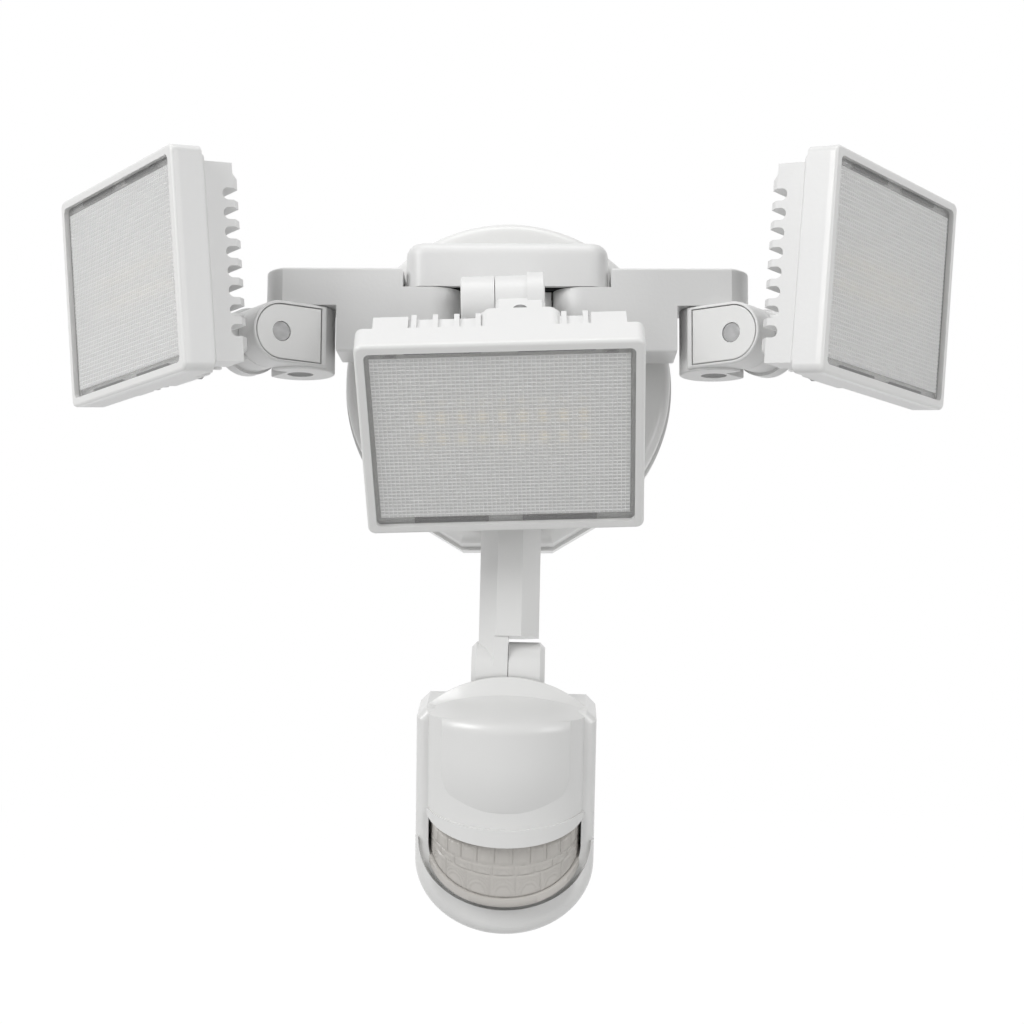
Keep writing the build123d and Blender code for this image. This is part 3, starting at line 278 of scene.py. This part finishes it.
def make_brushed_group():
    """Fine drawn lines along one direction of a metal part."""
    group, start, end = new_group(
        "brushed lines",
        (("Colour", COLOUR, (0.6, 0.6, 0.6, 1)), ("Shade", COLOUR, (0.4, 0.4, 0.4, 1)),
         ("Scale", NUMBER, 400.0), ("Roughness", NUMBER, 0.35)),
        (("Colour", COLOUR), ("Roughness", NUMBER), ("Height", NUMBER)))
    link = group.links.new
    place = add(group, "ShaderNodeTexCoord")
    stretch = add(group, "ShaderNodeMapping", {"Scale": (0.08, 1.0, 1.0)})
    noise = add(group, "ShaderNodeTexNoise", {"Detail": 2.0})
    link(place.outputs["Object"], stretch.inputs["Vector"])
    link(stretch.outputs["Vector"], noise.inputs["Vector"])
    link(start.outputs["Scale"], noise.inputs["Scale"])
    mix = add(group, "ShaderNodeMix", data_type="RGBA")
    link(noise.outputs["Fac"], mix.inputs["Factor"])
    link(start.outputs["Colour"], mix.inputs[MIX_FIRST])
    link(start.outputs["Shade"], mix.inputs[MIX_SECOND])
    rough = add(group, "ShaderNodeMath", {1: 0.2}, operation="MULTIPLY_ADD")
    link(noise.outputs["Fac"], rough.inputs[0])
    link(start.outputs["Roughness"], rough.inputs[2])
    link(mix.outputs[MIX_RESULT], end.inputs["Colour"])
    link(rough.outputs[0], end.inputs["Roughness"])
    link(noise.outputs["Fac"], end.inputs["Height"])
    return group


def shared_group(name):
    makers = {"moulded surface": make_moulded_group, "painted crevice shade": make_painted_shade_group,
              "brushed lines": make_brushed_group}
    return bpy.data.node_groups.get(name) or makers[name]()


# ------------------------------------------------------------------ materials
def rgba(value, factor=1.0):
    return (value[0] * factor, value[1] * factor, value[2] * factor, 1.0)


def new_material(name):
    """Empty material with a principled shader."""
    material = bpy.data.materials.new(name)
    material.use_nodes = True
    tree = material.node_tree
    tree.nodes.clear()
    shader = tree.nodes.new("ShaderNodeBsdfPrincipled")
    end = tree.nodes.new("ShaderNodeOutputMaterial")
    tree.links.new(shader.outputs[0], end.inputs["Surface"])
    return material, tree, shader


def place_group(tree, name, **values):
    """Puts a shared group into the tree and sets its inputs, with _ for a space."""
    node = tree.nodes.new("ShaderNodeGroup")
    node.node_tree = shared_group(name)
    for key, value in values.items():
        node.inputs[key.replace("_", " ")].default_value = value
    return node


def wire_surface(tree, shader, surface, relief, painted_shade=None):
    """Feeds a surface group's colour, gloss and height to the shader, with painted shade darkening the seams."""
    colour_from = surface
    if painted_shade:
        tint, reach, amount = painted_shade
        colour_from = place_group(tree, "painted crevice shade", Dust=tint, Distance=reach, Amount=amount)
        tree.links.new(surface.outputs["Colour"], colour_from.inputs["Colour"])
    tree.links.new(colour_from.outputs["Colour"], shader.inputs["Base Color"])
    tree.links.new(surface.outputs["Roughness"], shader.inputs["Roughness"])
    bump = add(tree, "ShaderNodeBump", {"Strength": 1.0, "Distance": relief})
    tree.links.new(surface.outputs["Height"], bump.inputs["Height"])
    tree.links.new(bump.outputs["Normal"], shader.inputs["Normal"])


def moulded(slot, base, roughness, shade=0.93, scale=900.0, relief=0.04 * MM, painted_shade=0.15,
            shade_reach=2.0 * MM, coat=0.0, coat_roughness=0.1):
    """Coated or moulded finish with orange peel, uneven gloss and painted shade in its seams."""
    material, tree, shader = new_material(MATERIAL_NAMES[slot])
    surface = place_group(tree, "moulded surface", Colour=rgba(base), Shade=rgba(base, shade),
                          Scale=scale, Mottle=0.4, Roughness=roughness, Roughness_Spread=0.08)
    # painted shade: the seams and inner corners are darkened towards 0.45 of the base colour
    wire_surface(tree, shader, surface, relief, (rgba(base, 0.45), shade_reach, painted_shade))
    shader.inputs["Coat Weight"].default_value = coat
    shader.inputs["Coat Roughness"].default_value = coat_roughness
    return material


def painted_glow(material, strength):
    """Painted glow: sends the finish's own colour to emission, so the phosphor of the unlit emitters shines."""
    shader = next(node for node in material.node_tree.nodes if node.type == "BSDF_PRINCIPLED")
    source = shader.inputs["Base Color"].links[0].from_socket
    material.node_tree.links.new(source, shader.inputs["Emission Color"])
    shader.inputs["Emission Strength"].default_value = strength


def metal(slot, base, roughness=0.3, scale=500.0):
    """Plated steel with fine drawn lines."""
    material, tree, shader = new_material(MATERIAL_NAMES[slot])
    surface = place_group(tree, "brushed lines", Colour=rgba(base), Shade=rgba(base, 0.7),
                          Scale=scale, Roughness=roughness)
    wire_surface(tree, shader, surface, 0.02 * MM)
    shader.inputs["Metallic"].default_value = 1.0


def clear_sheet(slot, base, transmission, roughness, alpha=1.0, shade=0.95, painted_shade=None):
    """Clear or milky plastic sheet; what lies behind it shows through."""
    material, tree, shader = new_material(MATERIAL_NAMES[slot])
    surface = place_group(tree, "moulded surface", Colour=rgba(base), Shade=rgba(base, shade),
                          Scale=700.0, Mottle=0.5, Roughness=roughness, Roughness_Spread=0.05)
    # painted shade in the sheet's hollows, when it is given
    wire_surface(tree, shader, surface, 0.01 * MM, painted_shade)
    shader.inputs["Transmission Weight"].default_value = transmission
    shader.inputs["IOR"].default_value = ACRYLIC_IOR
    shader.inputs["Alpha"].default_value = alpha


# by the record's slot or the part of a piece; none may be a name of the CAD's own materials
MATERIAL_NAMES = {
    "white_cast": "white powder coat", "white_plastic": "white moulding",
    "white_screw": "painted screw", "clear_lens": "clear prisms", "prism_edge": "prism flanks",
    "clear_rim": "clear rim", "milky_lens": "milky lenslets", "silicone": "pale silicone",
    "grey_rubber": "grey rubber", "grey_plastic": "grey moulding", "steel": "zinc-plated steel",
    "can": "sensor can", "white_board": "white solder mask", "green_board": "green solder mask",
    "driver_case": "black potted case", "emitter": "emitter body", "phosphor": "yellow phosphor",
    # painted shade of the clip windows
    "dark": "clip window shade",
}


def finish_for(slot):
    found = bpy.data.materials.get(MATERIAL_NAMES[slot])
    if found is None:
        raise RuntimeError(f"the finish {slot} has to be made first")
    return found


def make_finishes():
    """Makes every finish and returns them by slot."""
    tints = bpy.context.scene.security_light_colours
    led = bpy.context.scene.security_light_led
    # painted_shade sets how much painted shade darkens each finish in its seams and inner corners
    moulded("white_cast", tints.cast, 0.38, relief=0.06 * MM, scale=700.0, coat=0.25,
            coat_roughness=0.3)
    moulded("white_plastic", tints.plastic, 0.30, relief=0.02 * MM, scale=1300.0, coat=0.35,
            coat_roughness=0.15)
    moulded("white_screw", tints.plastic, 0.3, scale=2000.0, painted_shade=0.5, shade_reach=1.0 * MM)
    clear_sheet("clear_lens", tints.lens, transmission=0.35, roughness=0.42, alpha=0.9)
    clear_sheet("prism_edge", tints.lens, transmission=0.05, roughness=0.35, alpha=0.96)
    clear_sheet("clear_rim", tints.lens, transmission=0.65, roughness=0.1, alpha=0.6)
    # painted shade: the hollows between the lenslets are darkened towards 0.3 of the lens colour
    clear_sheet("milky_lens", tints.milky, transmission=0.12, roughness=0.28, shade=0.85,
                painted_shade=(rgba(tints.milky, 0.3), 0.8 * MM, 0.6))
    moulded("silicone", tints.seal, 0.55, scale=1500.0, painted_shade=0.4)
    moulded("grey_rubber", tints.rubber, 0.6, shade=0.8, scale=1600.0, painted_shade=0.5)
    moulded("grey_plastic", tints.dial, 0.45, shade=0.85, scale=1500.0)
    metal("steel", tints.steel)
    metal("can", tints.can, roughness=0.2, scale=900.0)
    moulded("white_board", tints.mask, 0.35, scale=2500.0, painted_shade=0.3)
    moulded("green_board", tints.board, 0.3, shade=0.7, scale=2500.0)
    moulded("driver_case", tints.potting, 0.5, shade=0.7)
    moulded("emitter", tints.emitter, 0.4, scale=3000.0)
    # painted glow on the phosphor
    painted_glow(moulded("phosphor", tints.phosphor, 0.35, shade=0.9, scale=4000.0), led.painted_glow)
    # painted shade: near-black finish of the clip windows
    moulded("dark", tints.dark, 0.6, shade=0.6, scale=1500.0)
    return {slot: finish_for(slot) for slot in MATERIAL_NAMES}


# ------------------------------------------------------------------ places of the pieces
def joint_place(name):
    for joint in frame["joints"]:
        if joint["name"] == name:
            return Vector(joint["pos_m"])
    raise RuntimeError(f"the frame has no joint {name}")


def head_place(unit):
    """Head's own frame: origin on the tilt axis, -Y out of the front, +Z to the head's middle."""
    head = bpy.context.scene.security_light_head
    spot = Matrix.Translation(joint_place(f"{unit}_tilt"))
    if unit == "centre":
        return (spot @ Matrix.Rotation(head.centre_lean, 4, "Y") @ Matrix.Rotation(pi, 4, "Y")
                @ Matrix.Rotation(-head.centre_tilt, 4, "X"))
    turn = head.side_turn if unit == "right" else -head.side_turn
    return spot @ Matrix.Rotation(turn, 4, "Z") @ Matrix.Rotation(head.side_tilt, 4, "X")


def sensor_place():
    """Sensor's own frame: origin on the hinge axis, -Y out of the front."""
    sensor = bpy.context.scene.security_light_sensor
    return (Matrix.Translation(joint_place("sensor_tilt")) @ Matrix.Rotation(sensor.lean, 4, "Y")
            @ Matrix.Rotation(sensor.tilt, 4, "X"))


# ------------------------------------------------------------------ mesh helpers
def rounded_rectangle(width, height, radius, steps=6):
    """Points of a rounded rectangle about the origin, anticlockwise."""
    points = []
    for turn, sx, sz in ((0, 1, 1), (90, -1, 1), (180, -1, -1), (270, 1, -1)):
        cx, cz = sx * (width / 2 - radius), sz * (height / 2 - radius)
        for i in range(steps + 1):
            a = radians(turn + 90 * i / steps)
            points.append((cx + radius * cos(a), cz + radius * sin(a)))
    return points


def ring_of(bm, points, depth, rise):
    """Vertices of an outline at one depth in front of a piece's own frame."""
    return [bm.verts.new((x, -depth, z + rise)) for x, z in points]


def bridge(bm, first, second):
    """Quads between two rings with as many points."""
    count = len(first)
    for i in range(count):
        bm.faces.new((first[i], first[(i + 1) % count], second[(i + 1) % count], second[i]))


def slab(bm, points, near, far, rise, index=0):
    """Closed plate between two depths, in the finish with that index."""
    back, front = ring_of(bm, points, near, rise), ring_of(bm, points, far, rise)
    before = len(bm.faces)
    bridge(bm, back, front)
    bm.faces.new(front)
    bm.faces.new(list(reversed(back)))
    bm.faces.ensure_lookup_table()
    for face in bm.faces[before:]:
        face.material_index = index


def finish_piece(bm, name, place, body, finishes, replaced=(), smooth_angle=None):
    """Turns the mesh into a piece that rides on its body and may stand for CAD nodes."""
    bmesh.ops.recalc_face_normals(bm, faces=bm.faces)
    mesh = bpy.data.meshes.new(name)
    bm.to_mesh(mesh)
    bm.free()
    mesh.transform(place)
    piece = bpy.data.objects.new(name, mesh)
    bpy.context.scene.collection.objects.link(piece)
    for slot in finishes:
        mesh.materials.append(finish_for(slot))
    if smooth_angle is not None:
        mesh.shade_smooth()
        mesh.set_sharp_from_angle(angle=smooth_angle)
    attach(piece, body)
    if replaced:
        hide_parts(*replaced)


# ------------------------------------------------------------------ pieces
FLANK, RIM = 1, 2       # indexes of the clear sheet's second and third finishes
BODY, PHOSPHOR, PADS = 0, 1, 2      # indexes of an emitter's finishes
CUP_SIDES = 20          # sides of the phosphor's round cup

LENS_ACROSS, LENS_DOWN, LENS_BACK_DOWN = 260, 72, 12    # the sensor lens's mesh, front and back
LENS_SHARP = radians(50)    # edges between faces that meet at a larger angle stay sharp
LENSLET_ROWS = ((0.0, 0.64, 0), (0.64, 0.75, 2), (0.75, 1.0, 4))    # start, end, columns fewer
LENSLET_BORDER = 0.14   # share of a lenslet's half side that its sloping border takes
RING_MIDDLE = 0.9       # the rings' middle down a lenslet
RING_SQUASH = 2.0
RING_COUNT = 2.5
RING_LOW = 0.45         # height at a ring's lowest place


def prism_field(bm, head):
    """Grid of low flat-topped prisms, flanks in the second finish; returns its border's edges."""
    half_w = head.width / 2 - head.prism_side
    half_h = head.height / 2 - head.prism_inset
    nx, nz = round(2 * half_w / head.prism_pitch), round(2 * half_h / head.prism_pitch)
    xs = [-half_w + 2 * half_w * i / nx for i in range(nx + 1)]
    zs = [-half_h + 2 * half_h * i / nz for i in range(nz + 1)]
    corners = [[bm.verts.new((x, -head.front, z + head.rise)) for x in xs] for z in zs]
    face = -head.front - head.prism_rise
    for j in range(nz):
        for i in range(nx):
            foot = (corners[j][i], corners[j][i + 1], corners[j + 1][i + 1], corners[j + 1][i])
            top = [bm.verts.new((vert.co.x + sx * head.side_flank, face,
                                 vert.co.z + sz * head.flank))
                   for vert, sx, sz in zip(foot, (1, -1, -1, 1), (1, 1, -1, -1))]
            bm.faces.new(top)
            for k in range(4):
                side = bm.faces.new((foot[k], foot[(k + 1) % 4], top[(k + 1) % 4], top[k]))
                side.material_index = FLANK
    return [edge for edge in bm.edges if edge.is_boundary]


def make_lens_sheet(unit):
    """Clear sheet with a smooth rim and a field of small prisms."""
    head = bpy.context.scene.security_light_head
    bm = bmesh.new()
    border = prism_field(bm, head)
    before = len(bm.faces)
    outline = rounded_rectangle(head.width - 2 * head.rim_inset, head.height - 2 * head.rim_inset,
                                head.corner)
    front = ring_of(bm, outline, head.front, head.rise)
    count = len(front)
    edges = [bm.edges.new((front[i], front[(i + 1) % count])) for i in range(count)]
    bmesh.ops.triangle_fill(bm, use_beauty=True, use_dissolve=False, edges=border + edges)
    seam = ring_of(bm, outline, head.front - head.sheet + head.step, head.rise)
    bridge(bm, seam, front)
    bm.faces.new(list(reversed(seam)))
    bm.faces.ensure_lookup_table()
    for face in bm.faces[before:]:
        face.material_index = RIM
    finish_piece(bm, f"{unit}_prism_sheet", head_place(unit), f"{unit}_head",
                 ["clear_lens", "prism_edge", "clear_rim"], [f"{unit}_lens"])


def make_clip_windows(unit):
    """Painted shade: near-black slabs in the clear rim, two above and two below, where the clip windows look dark.
    """
    head = bpy.context.scene.security_light_head
    bm = bmesh.new()
    far = head.front - head.window_depth
    middle = head.height / 2 - head.window_inset - head.window_height / 2
    for sx in (-1, 1):
        for sz in (-1, 1):
            points = [(x + sx * head.window_offset, y + sz * middle) for x, y in
                      rounded_rectangle(head.window, head.window_height, head.window_corner, 3)]
            slab(bm, points, head.front - head.sheet + head.window_foot, far, head.rise)
    finish_piece(bm, f"{unit}_clip_windows", head_place(unit), f"{unit}_head", ["dark"])


def make_emitters(unit):
    """Two rows of emitters: white body, yellow phosphor in its cup, two solder pads."""
    head = bpy.context.scene.security_light_head
    led = bpy.context.scene.security_light_led
    bm = bmesh.new()
    face = led.base + led.thickness
    for row in (-0.5, 0.5):
        for i in range(led.per_row):
            x0 = led.pitch * (i - (led.per_row - 1) / 2)
            z0 = head.rise + row * led.row_gap
            body = [(x0 + x, z) for x, z in rounded_rectangle(led.side, led.side, led.corner, 3)]
            slab(bm, body, led.base, face, z0, BODY)
            turns = [2 * pi * k / CUP_SIDES for k in range(CUP_SIDES)]
            cup = [(x0 + led.phosphor * cos(a), led.phosphor * sin(a)) for a in turns]
            slab(bm, cup, face - led.phosphor_sink, face + led.phosphor_rise, z0, PHOSPHOR)
            for side in (-1, 1):
                middle = x0 + side * (led.side / 2 + led.pad_out)
                pad = [(middle + x, z) for x, z in
                       rounded_rectangle(led.pad_width, led.pad_height, led.pad_corner, 2)]
                slab(bm, pad, led.base, led.base + led.pad_thickness, z0, PADS)
    finish_piece(bm, f"{unit}_emitters", head_place(unit), f"{unit}_head",
                 ["emitter", "phosphor", "steel"], [f"{unit}_leds"])


def lenslet_height(u, v, columns):
    """Height of the lenslets, 0 to 1, at a place across (u) and down (v) the sheet."""
    low, high, fewer = next(row for row in LENSLET_ROWS if v <= row[1])
    cu = (u * (columns - fewer)) % 1.0
    cv = (v - low) / (high - low)
    dx, dz = (cu - 0.5) * 2, (cv - 0.5) * 2
    border = min(1.0, min(1 - abs(dx), 1 - abs(dz)) / LENSLET_BORDER)
    ring = (dx * dx + (cv - RING_MIDDLE) * (cv - RING_MIDDLE) * RING_SQUASH) * RING_COUNT
    return max(0.0, border) * (RING_LOW + (1 - RING_LOW) * (1 - ring % 1.0))


def lens_point(sensor, u, v, inward, drop=0.0):
    """Point of the lens's sheet: across (u), down (v), in from its face and below its edge."""
    half = sensor.width / 2
    a = pi * (u - 0.5)
    span = half * sin(a) / (half + sensor.foot_rise)
    edge = -sensor.side_end - (sensor.bottom - sensor.side_end) * sqrt(max(0.0, 1 - span ** 2))
    low = edge + sensor.foot_height
    z = -sensor.top + (low + sensor.top) * v - drop
    hood = -sensor.hood_side - (sensor.hood_middle - sensor.hood_side) * cos(a)
    clear = min(1.0, max(0.0, (hood - z) / sensor.hood_fade))
    clear *= clear * (3 - 2 * clear)
    x = (half + sensor.spread * clear - inward) * sin(a)
    power = 2 + (sensor.squareness - 2) * clear
    bulge = max(0.0, 1 - abs(sin(a)) ** power) ** (1 / power)
    return x, -sensor.back - (sensor.depth - sensor.back - inward) * bulge, z


def make_sensor_lens():
    """Curved milky sheet with three rows of ringed lenslets and a thick edge along its foot."""
    sensor = bpy.context.scene.security_light_sensor
    bm = bmesh.new()

    def line(v, inward, drop=0.0):
        return [bm.verts.new(lens_point(sensor, i / LENS_ACROSS, v, inward, drop))
                for i in range(LENS_ACROSS + 1)]

    def lenslet_line(j):
        verts = []
        for i in range(LENS_ACROSS + 1):
            u, v = i / LENS_ACROSS, j / LENS_DOWN
            inside = 0 < j < LENS_DOWN and 0 < i < LENS_ACROSS
            height = lenslet_height(u, v, sensor.columns) if inside else 0.0
            verts.append(bm.verts.new(lens_point(sensor, u, v, sensor.relief * (1 - height))))
        return verts

    foot, out, soft = sensor.foot_height, -sensor.foot_rise, sensor.foot_corner
    outer = [lenslet_line(j) for j in range(LENS_DOWN + 1)]
    outer += [line(1.0, out + soft), line(1.0, out, soft), line(1.0, out, foot - soft),
              line(1.0, out + soft, foot)]
    inner = [line(j / LENS_BACK_DOWN, sensor.sheet) for j in range(LENS_BACK_DOWN + 1)]
    inner.append(line(1.0, sensor.sheet, foot))
    for rows in (outer, inner):
        for upper, lower in zip(rows, rows[1:]):
            for i in range(LENS_ACROSS):
                bm.faces.new((upper[i], upper[i + 1], lower[i + 1], lower[i]))
    for first, second in ((outer[0], inner[0]), (outer[-1], inner[-1])):
        for i in range(LENS_ACROSS):
            bm.faces.new((first[i], first[i + 1], second[i + 1], second[i]))
    for k in (0, LENS_ACROSS):
        bm.faces.new([row[k] for row in outer] + [row[k] for row in reversed(inner)])
    finish_piece(bm, "sensor_lenslets", sensor_place(), "sensor", ["milky_lens"],
                 ["sensor_lens"], LENS_SHARP)


# ------------------------------------------------------------------ operators
class SECLIGHT_OT_finishes(bpy.types.Operator):
    """Make the finishes and give each CAD part its own"""
    bl_idname = "security_light.finishes"
    bl_label = "Finishes"

    def execute(self, context):
        made = make_finishes()
        slots = {part["node"]: part["material_slot"] for part in frame["record"]["subparts"]}
        missing = sorted(set(slots.values()) - set(made))
        if missing:
            raise RuntimeError(f"no finish for {missing}")
        for node, thing in frame["nodes"].items():
            thing.data.materials.clear()
            thing.data.materials.append(made[slots[node]])
        return {"FINISHED"}


class SECLIGHT_OT_lens_sheets(bpy.types.Operator):
    """Make the clear prismatic sheet of each head"""
    bl_idname = "security_light.lens_sheets"
    bl_label = "Prismatic sheets"

    def execute(self, context):
        for unit in UNITS:
            make_lens_sheet(unit)
            make_clip_windows(unit)
        return {"FINISHED"}


class SECLIGHT_OT_emitters(bpy.types.Operator):
    """Make the emitters on each head's board"""
    bl_idname = "security_light.emitters"
    bl_label = "Emitters"

    def execute(self, context):
        for unit in UNITS:
            make_emitters(unit)
        return {"FINISHED"}


class SECLIGHT_OT_sensor_lens(bpy.types.Operator):
    """Make the sensor's curved sheet of lenslets"""
    bl_idname = "security_light.sensor_lens"
    bl_label = "Sensor lens"

    def execute(self, context):
        make_sensor_lens()
        return {"FINISHED"}


class SECLIGHT_OT_stage(bpy.types.Operator):
    """Make the floor, the soft lamps, the white surround and the camera"""
    bl_idname = "security_light.stage"
    bl_label = "Stage"

    def execute(self, context):
        make_floor()
        make_world()
        make_lamps()
        make_camera()
        return {"FINISHED"}


# ------------------------------------------------------------------ stage
WHITE = (1.0, 1.0, 1.0, 1.0)
WORLD_LIGHT = 0.36      # strength of the surround as a light
FLOOR_SHARE = 0.85      # how much of the floor's look is its white glow
FLOOR_GLOW = 1.12
FLOOR_DROP = 0.12       # metres below the object
FLOOR_CORNERS = ((-4, -4), (4, -4), (4, 6), (-4, 6))
# name, place, size across and up, watts
LAMPS = (
    ("key", (-1.15, -1.15, 0.7), (0.9, 0.9), 15.0),
    ("fill", (1.2, -1.1, 0.2), (0.7, 1.0), 5.8),
    ("top", (0.0, -0.3, 1.5), (1.2, 0.8), 6.5),
)
LAMP_TARGET = (0.0, -0.05, -0.02)
CAMERA_PLACE = (14.3, -816.0, -141.6)       # millimetres
CAMERA_UP, CAMERA_LEFT, CAMERA_ROLL = radians(6.6), radians(0.9), radians(0.34)
CAMERA_SENSOR, CAMERA_LENS = 36.0, 73.4


def plain_ray(tree):
    """1 for rays that see the background: camera, glossy and transmission rays."""
    seen = add(tree, "ShaderNodeLightPath")
    total = seen.outputs["Is Camera Ray"]
    for name in ("Is Glossy Ray", "Is Transmission Ray"):
        either = add(tree, "ShaderNodeMath", operation="MAXIMUM")
        tree.links.new(total, either.inputs[0])
        tree.links.new(seen.outputs[name], either.inputs[1])
        total = either.outputs[0]
    return total


def blend_shaders(tree, share, first, second, end):
    """Mixes two shaders, share of the second, into the tree's output."""
    blend = add(tree, "ShaderNodeMixShader")
    tree.links.new(share, blend.inputs["Fac"])
    tree.links.new(first.outputs[0], blend.inputs[1])
    tree.links.new(second.outputs[0], blend.inputs[2])
    tree.links.new(blend.outputs[0], end.inputs["Surface"])


def make_floor():
    """Floor far below the object, nearly as white as the surround."""
    bm = bmesh.new()
    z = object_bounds()[0].z - FLOOR_DROP
    bm.faces.new([bm.verts.new((x, y, z)) for x, y in FLOOR_CORNERS])
    mesh = bpy.data.meshes.new("floor")
    bm.to_mesh(mesh)
    bm.free()
    floor = bpy.data.objects.new("floor", mesh)
    bpy.context.scene.collection.objects.link(floor)
    material, tree, shader = new_material("pale floor")
    tint = bpy.context.scene.security_light_colours.floor
    surface = place_group(tree, "moulded surface", Colour=rgba(tint), Shade=rgba(tint, 0.99),
                          Scale=3.0, Mottle=0.2, Roughness=0.7)
    tree.links.new(surface.outputs["Colour"], shader.inputs["Base Color"])
    tree.links.new(surface.outputs["Roughness"], shader.inputs["Roughness"])
    white = add(tree, "ShaderNodeEmission", {"Strength": FLOOR_GLOW})
    share = add(tree, "ShaderNodeMath", {1: FLOOR_SHARE}, operation="MULTIPLY")
    tree.links.new(plain_ray(tree), share.inputs[0])
    end = next(node for node in tree.nodes if node.type == "OUTPUT_MATERIAL")
    blend_shaders(tree, share.outputs[0], shader, white, end)
    mesh.materials.append(material)
    floor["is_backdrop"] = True


def make_world():
    """White surround for the camera, soft even light for the object."""
    world = bpy.data.worlds.new("studio")
    bpy.context.scene.world = world
    world.use_nodes = True
    tree = world.node_tree
    tree.nodes.clear()
    end = add(tree, "ShaderNodeOutputWorld")
    soft = add(tree, "ShaderNodeBackground", {"Color": WHITE, "Strength": WORLD_LIGHT})
    white = add(tree, "ShaderNodeBackground", {"Color": WHITE, "Strength": 1.0})
    blend_shaders(tree, plain_ray(tree), soft, white, end)


def make_lamps():
    """Three soft lamps that look at the middle of the heads."""
    target = Vector(LAMP_TARGET)
    for name, spot, size, watts in LAMPS:
        data = bpy.data.lights.new(name, "AREA")
        data.shape = "RECTANGLE"
        data.size, data.size_y = size
        data.energy = watts
        lamp = bpy.data.objects.new(name, data)
        lamp.location = spot
        lamp.rotation_euler = (target - Vector(spot)).to_track_quat("-Z", "Y").to_euler()
        bpy.context.scene.collection.objects.link(lamp)


def make_camera():
    """Camera at the photograph's place, level with the sensor and looking slightly up."""
    data = bpy.data.cameras.new("camera")
    data.sensor_width = CAMERA_SENSOR
    data.lens = CAMERA_LENS
    data.clip_start, data.clip_end = 0.05, 30.0
    camera = bpy.data.objects.new("camera", data)
    forward = Vector((-sin(CAMERA_LEFT) * cos(CAMERA_UP), cos(CAMERA_LEFT) * cos(CAMERA_UP),
                      sin(CAMERA_UP)))
    turn = forward.to_track_quat("-Z", "Y").to_matrix().to_4x4()
    camera.matrix_world = (Matrix.Translation(Vector(CAMERA_PLACE) * MM) @ turn
                           @ Matrix.Rotation(CAMERA_ROLL, 4, "Z"))
    bpy.context.scene.collection.objects.link(camera)
    bpy.context.scene.camera = camera
    bpy.context.scene.view_settings.view_transform = "Standard"


# ------------------------------------------------------------------ panel and registration
OPERATORS = (SECLIGHT_OT_finishes, SECLIGHT_OT_lens_sheets, SECLIGHT_OT_emitters,
             SECLIGHT_OT_sensor_lens, SECLIGHT_OT_stage)


class SECLIGHT_PT_panel(bpy.types.Panel):
    """Lists the light's pieces and their sizes"""
    bl_idname = "SECLIGHT_PT_panel"
    bl_label = "Security Light"
    bl_space_type = "VIEW_3D"
    bl_region_type = "UI"
    bl_category = "Security Light"

    def draw(self, context):
        for operator in OPERATORS:
            self.layout.operator(operator.bl_idname)
        for name in SETTINGS:
            group = getattr(context.scene, name)
            box = self.layout.box()
            for key in group.bl_rna.properties.keys():
                if key not in ("rna_type", "name"):
                    box.prop(group, key)


SETTINGS = {
    "security_light_head": SECLIGHT_PG_head,
    "security_light_led": SECLIGHT_PG_led,
    "security_light_sensor": SECLIGHT_PG_sensor,
    "security_light_colours": SECLIGHT_PG_colours,
}
CLASSES = (*SETTINGS.values(), *OPERATORS, SECLIGHT_PT_panel)


def register():
    for item in CLASSES:
        bpy.utils.register_class(item)
    for name, group in SETTINGS.items():
        setattr(bpy.types.Scene, name, PointerProperty(type=group))


def unregister():
    for name in SETTINGS:
        delattr(bpy.types.Scene, name)
    for item in reversed(CLASSES):
        bpy.utils.unregister_class(item)


def main():
    register()
    bpy.ops.security_light.finishes()
    bpy.ops.security_light.lens_sheets()
    bpy.ops.security_light.emitters()
    bpy.ops.security_light.sensor_lens()
    bpy.ops.security_light.stage()


if __name__ == "__main__":
    main()
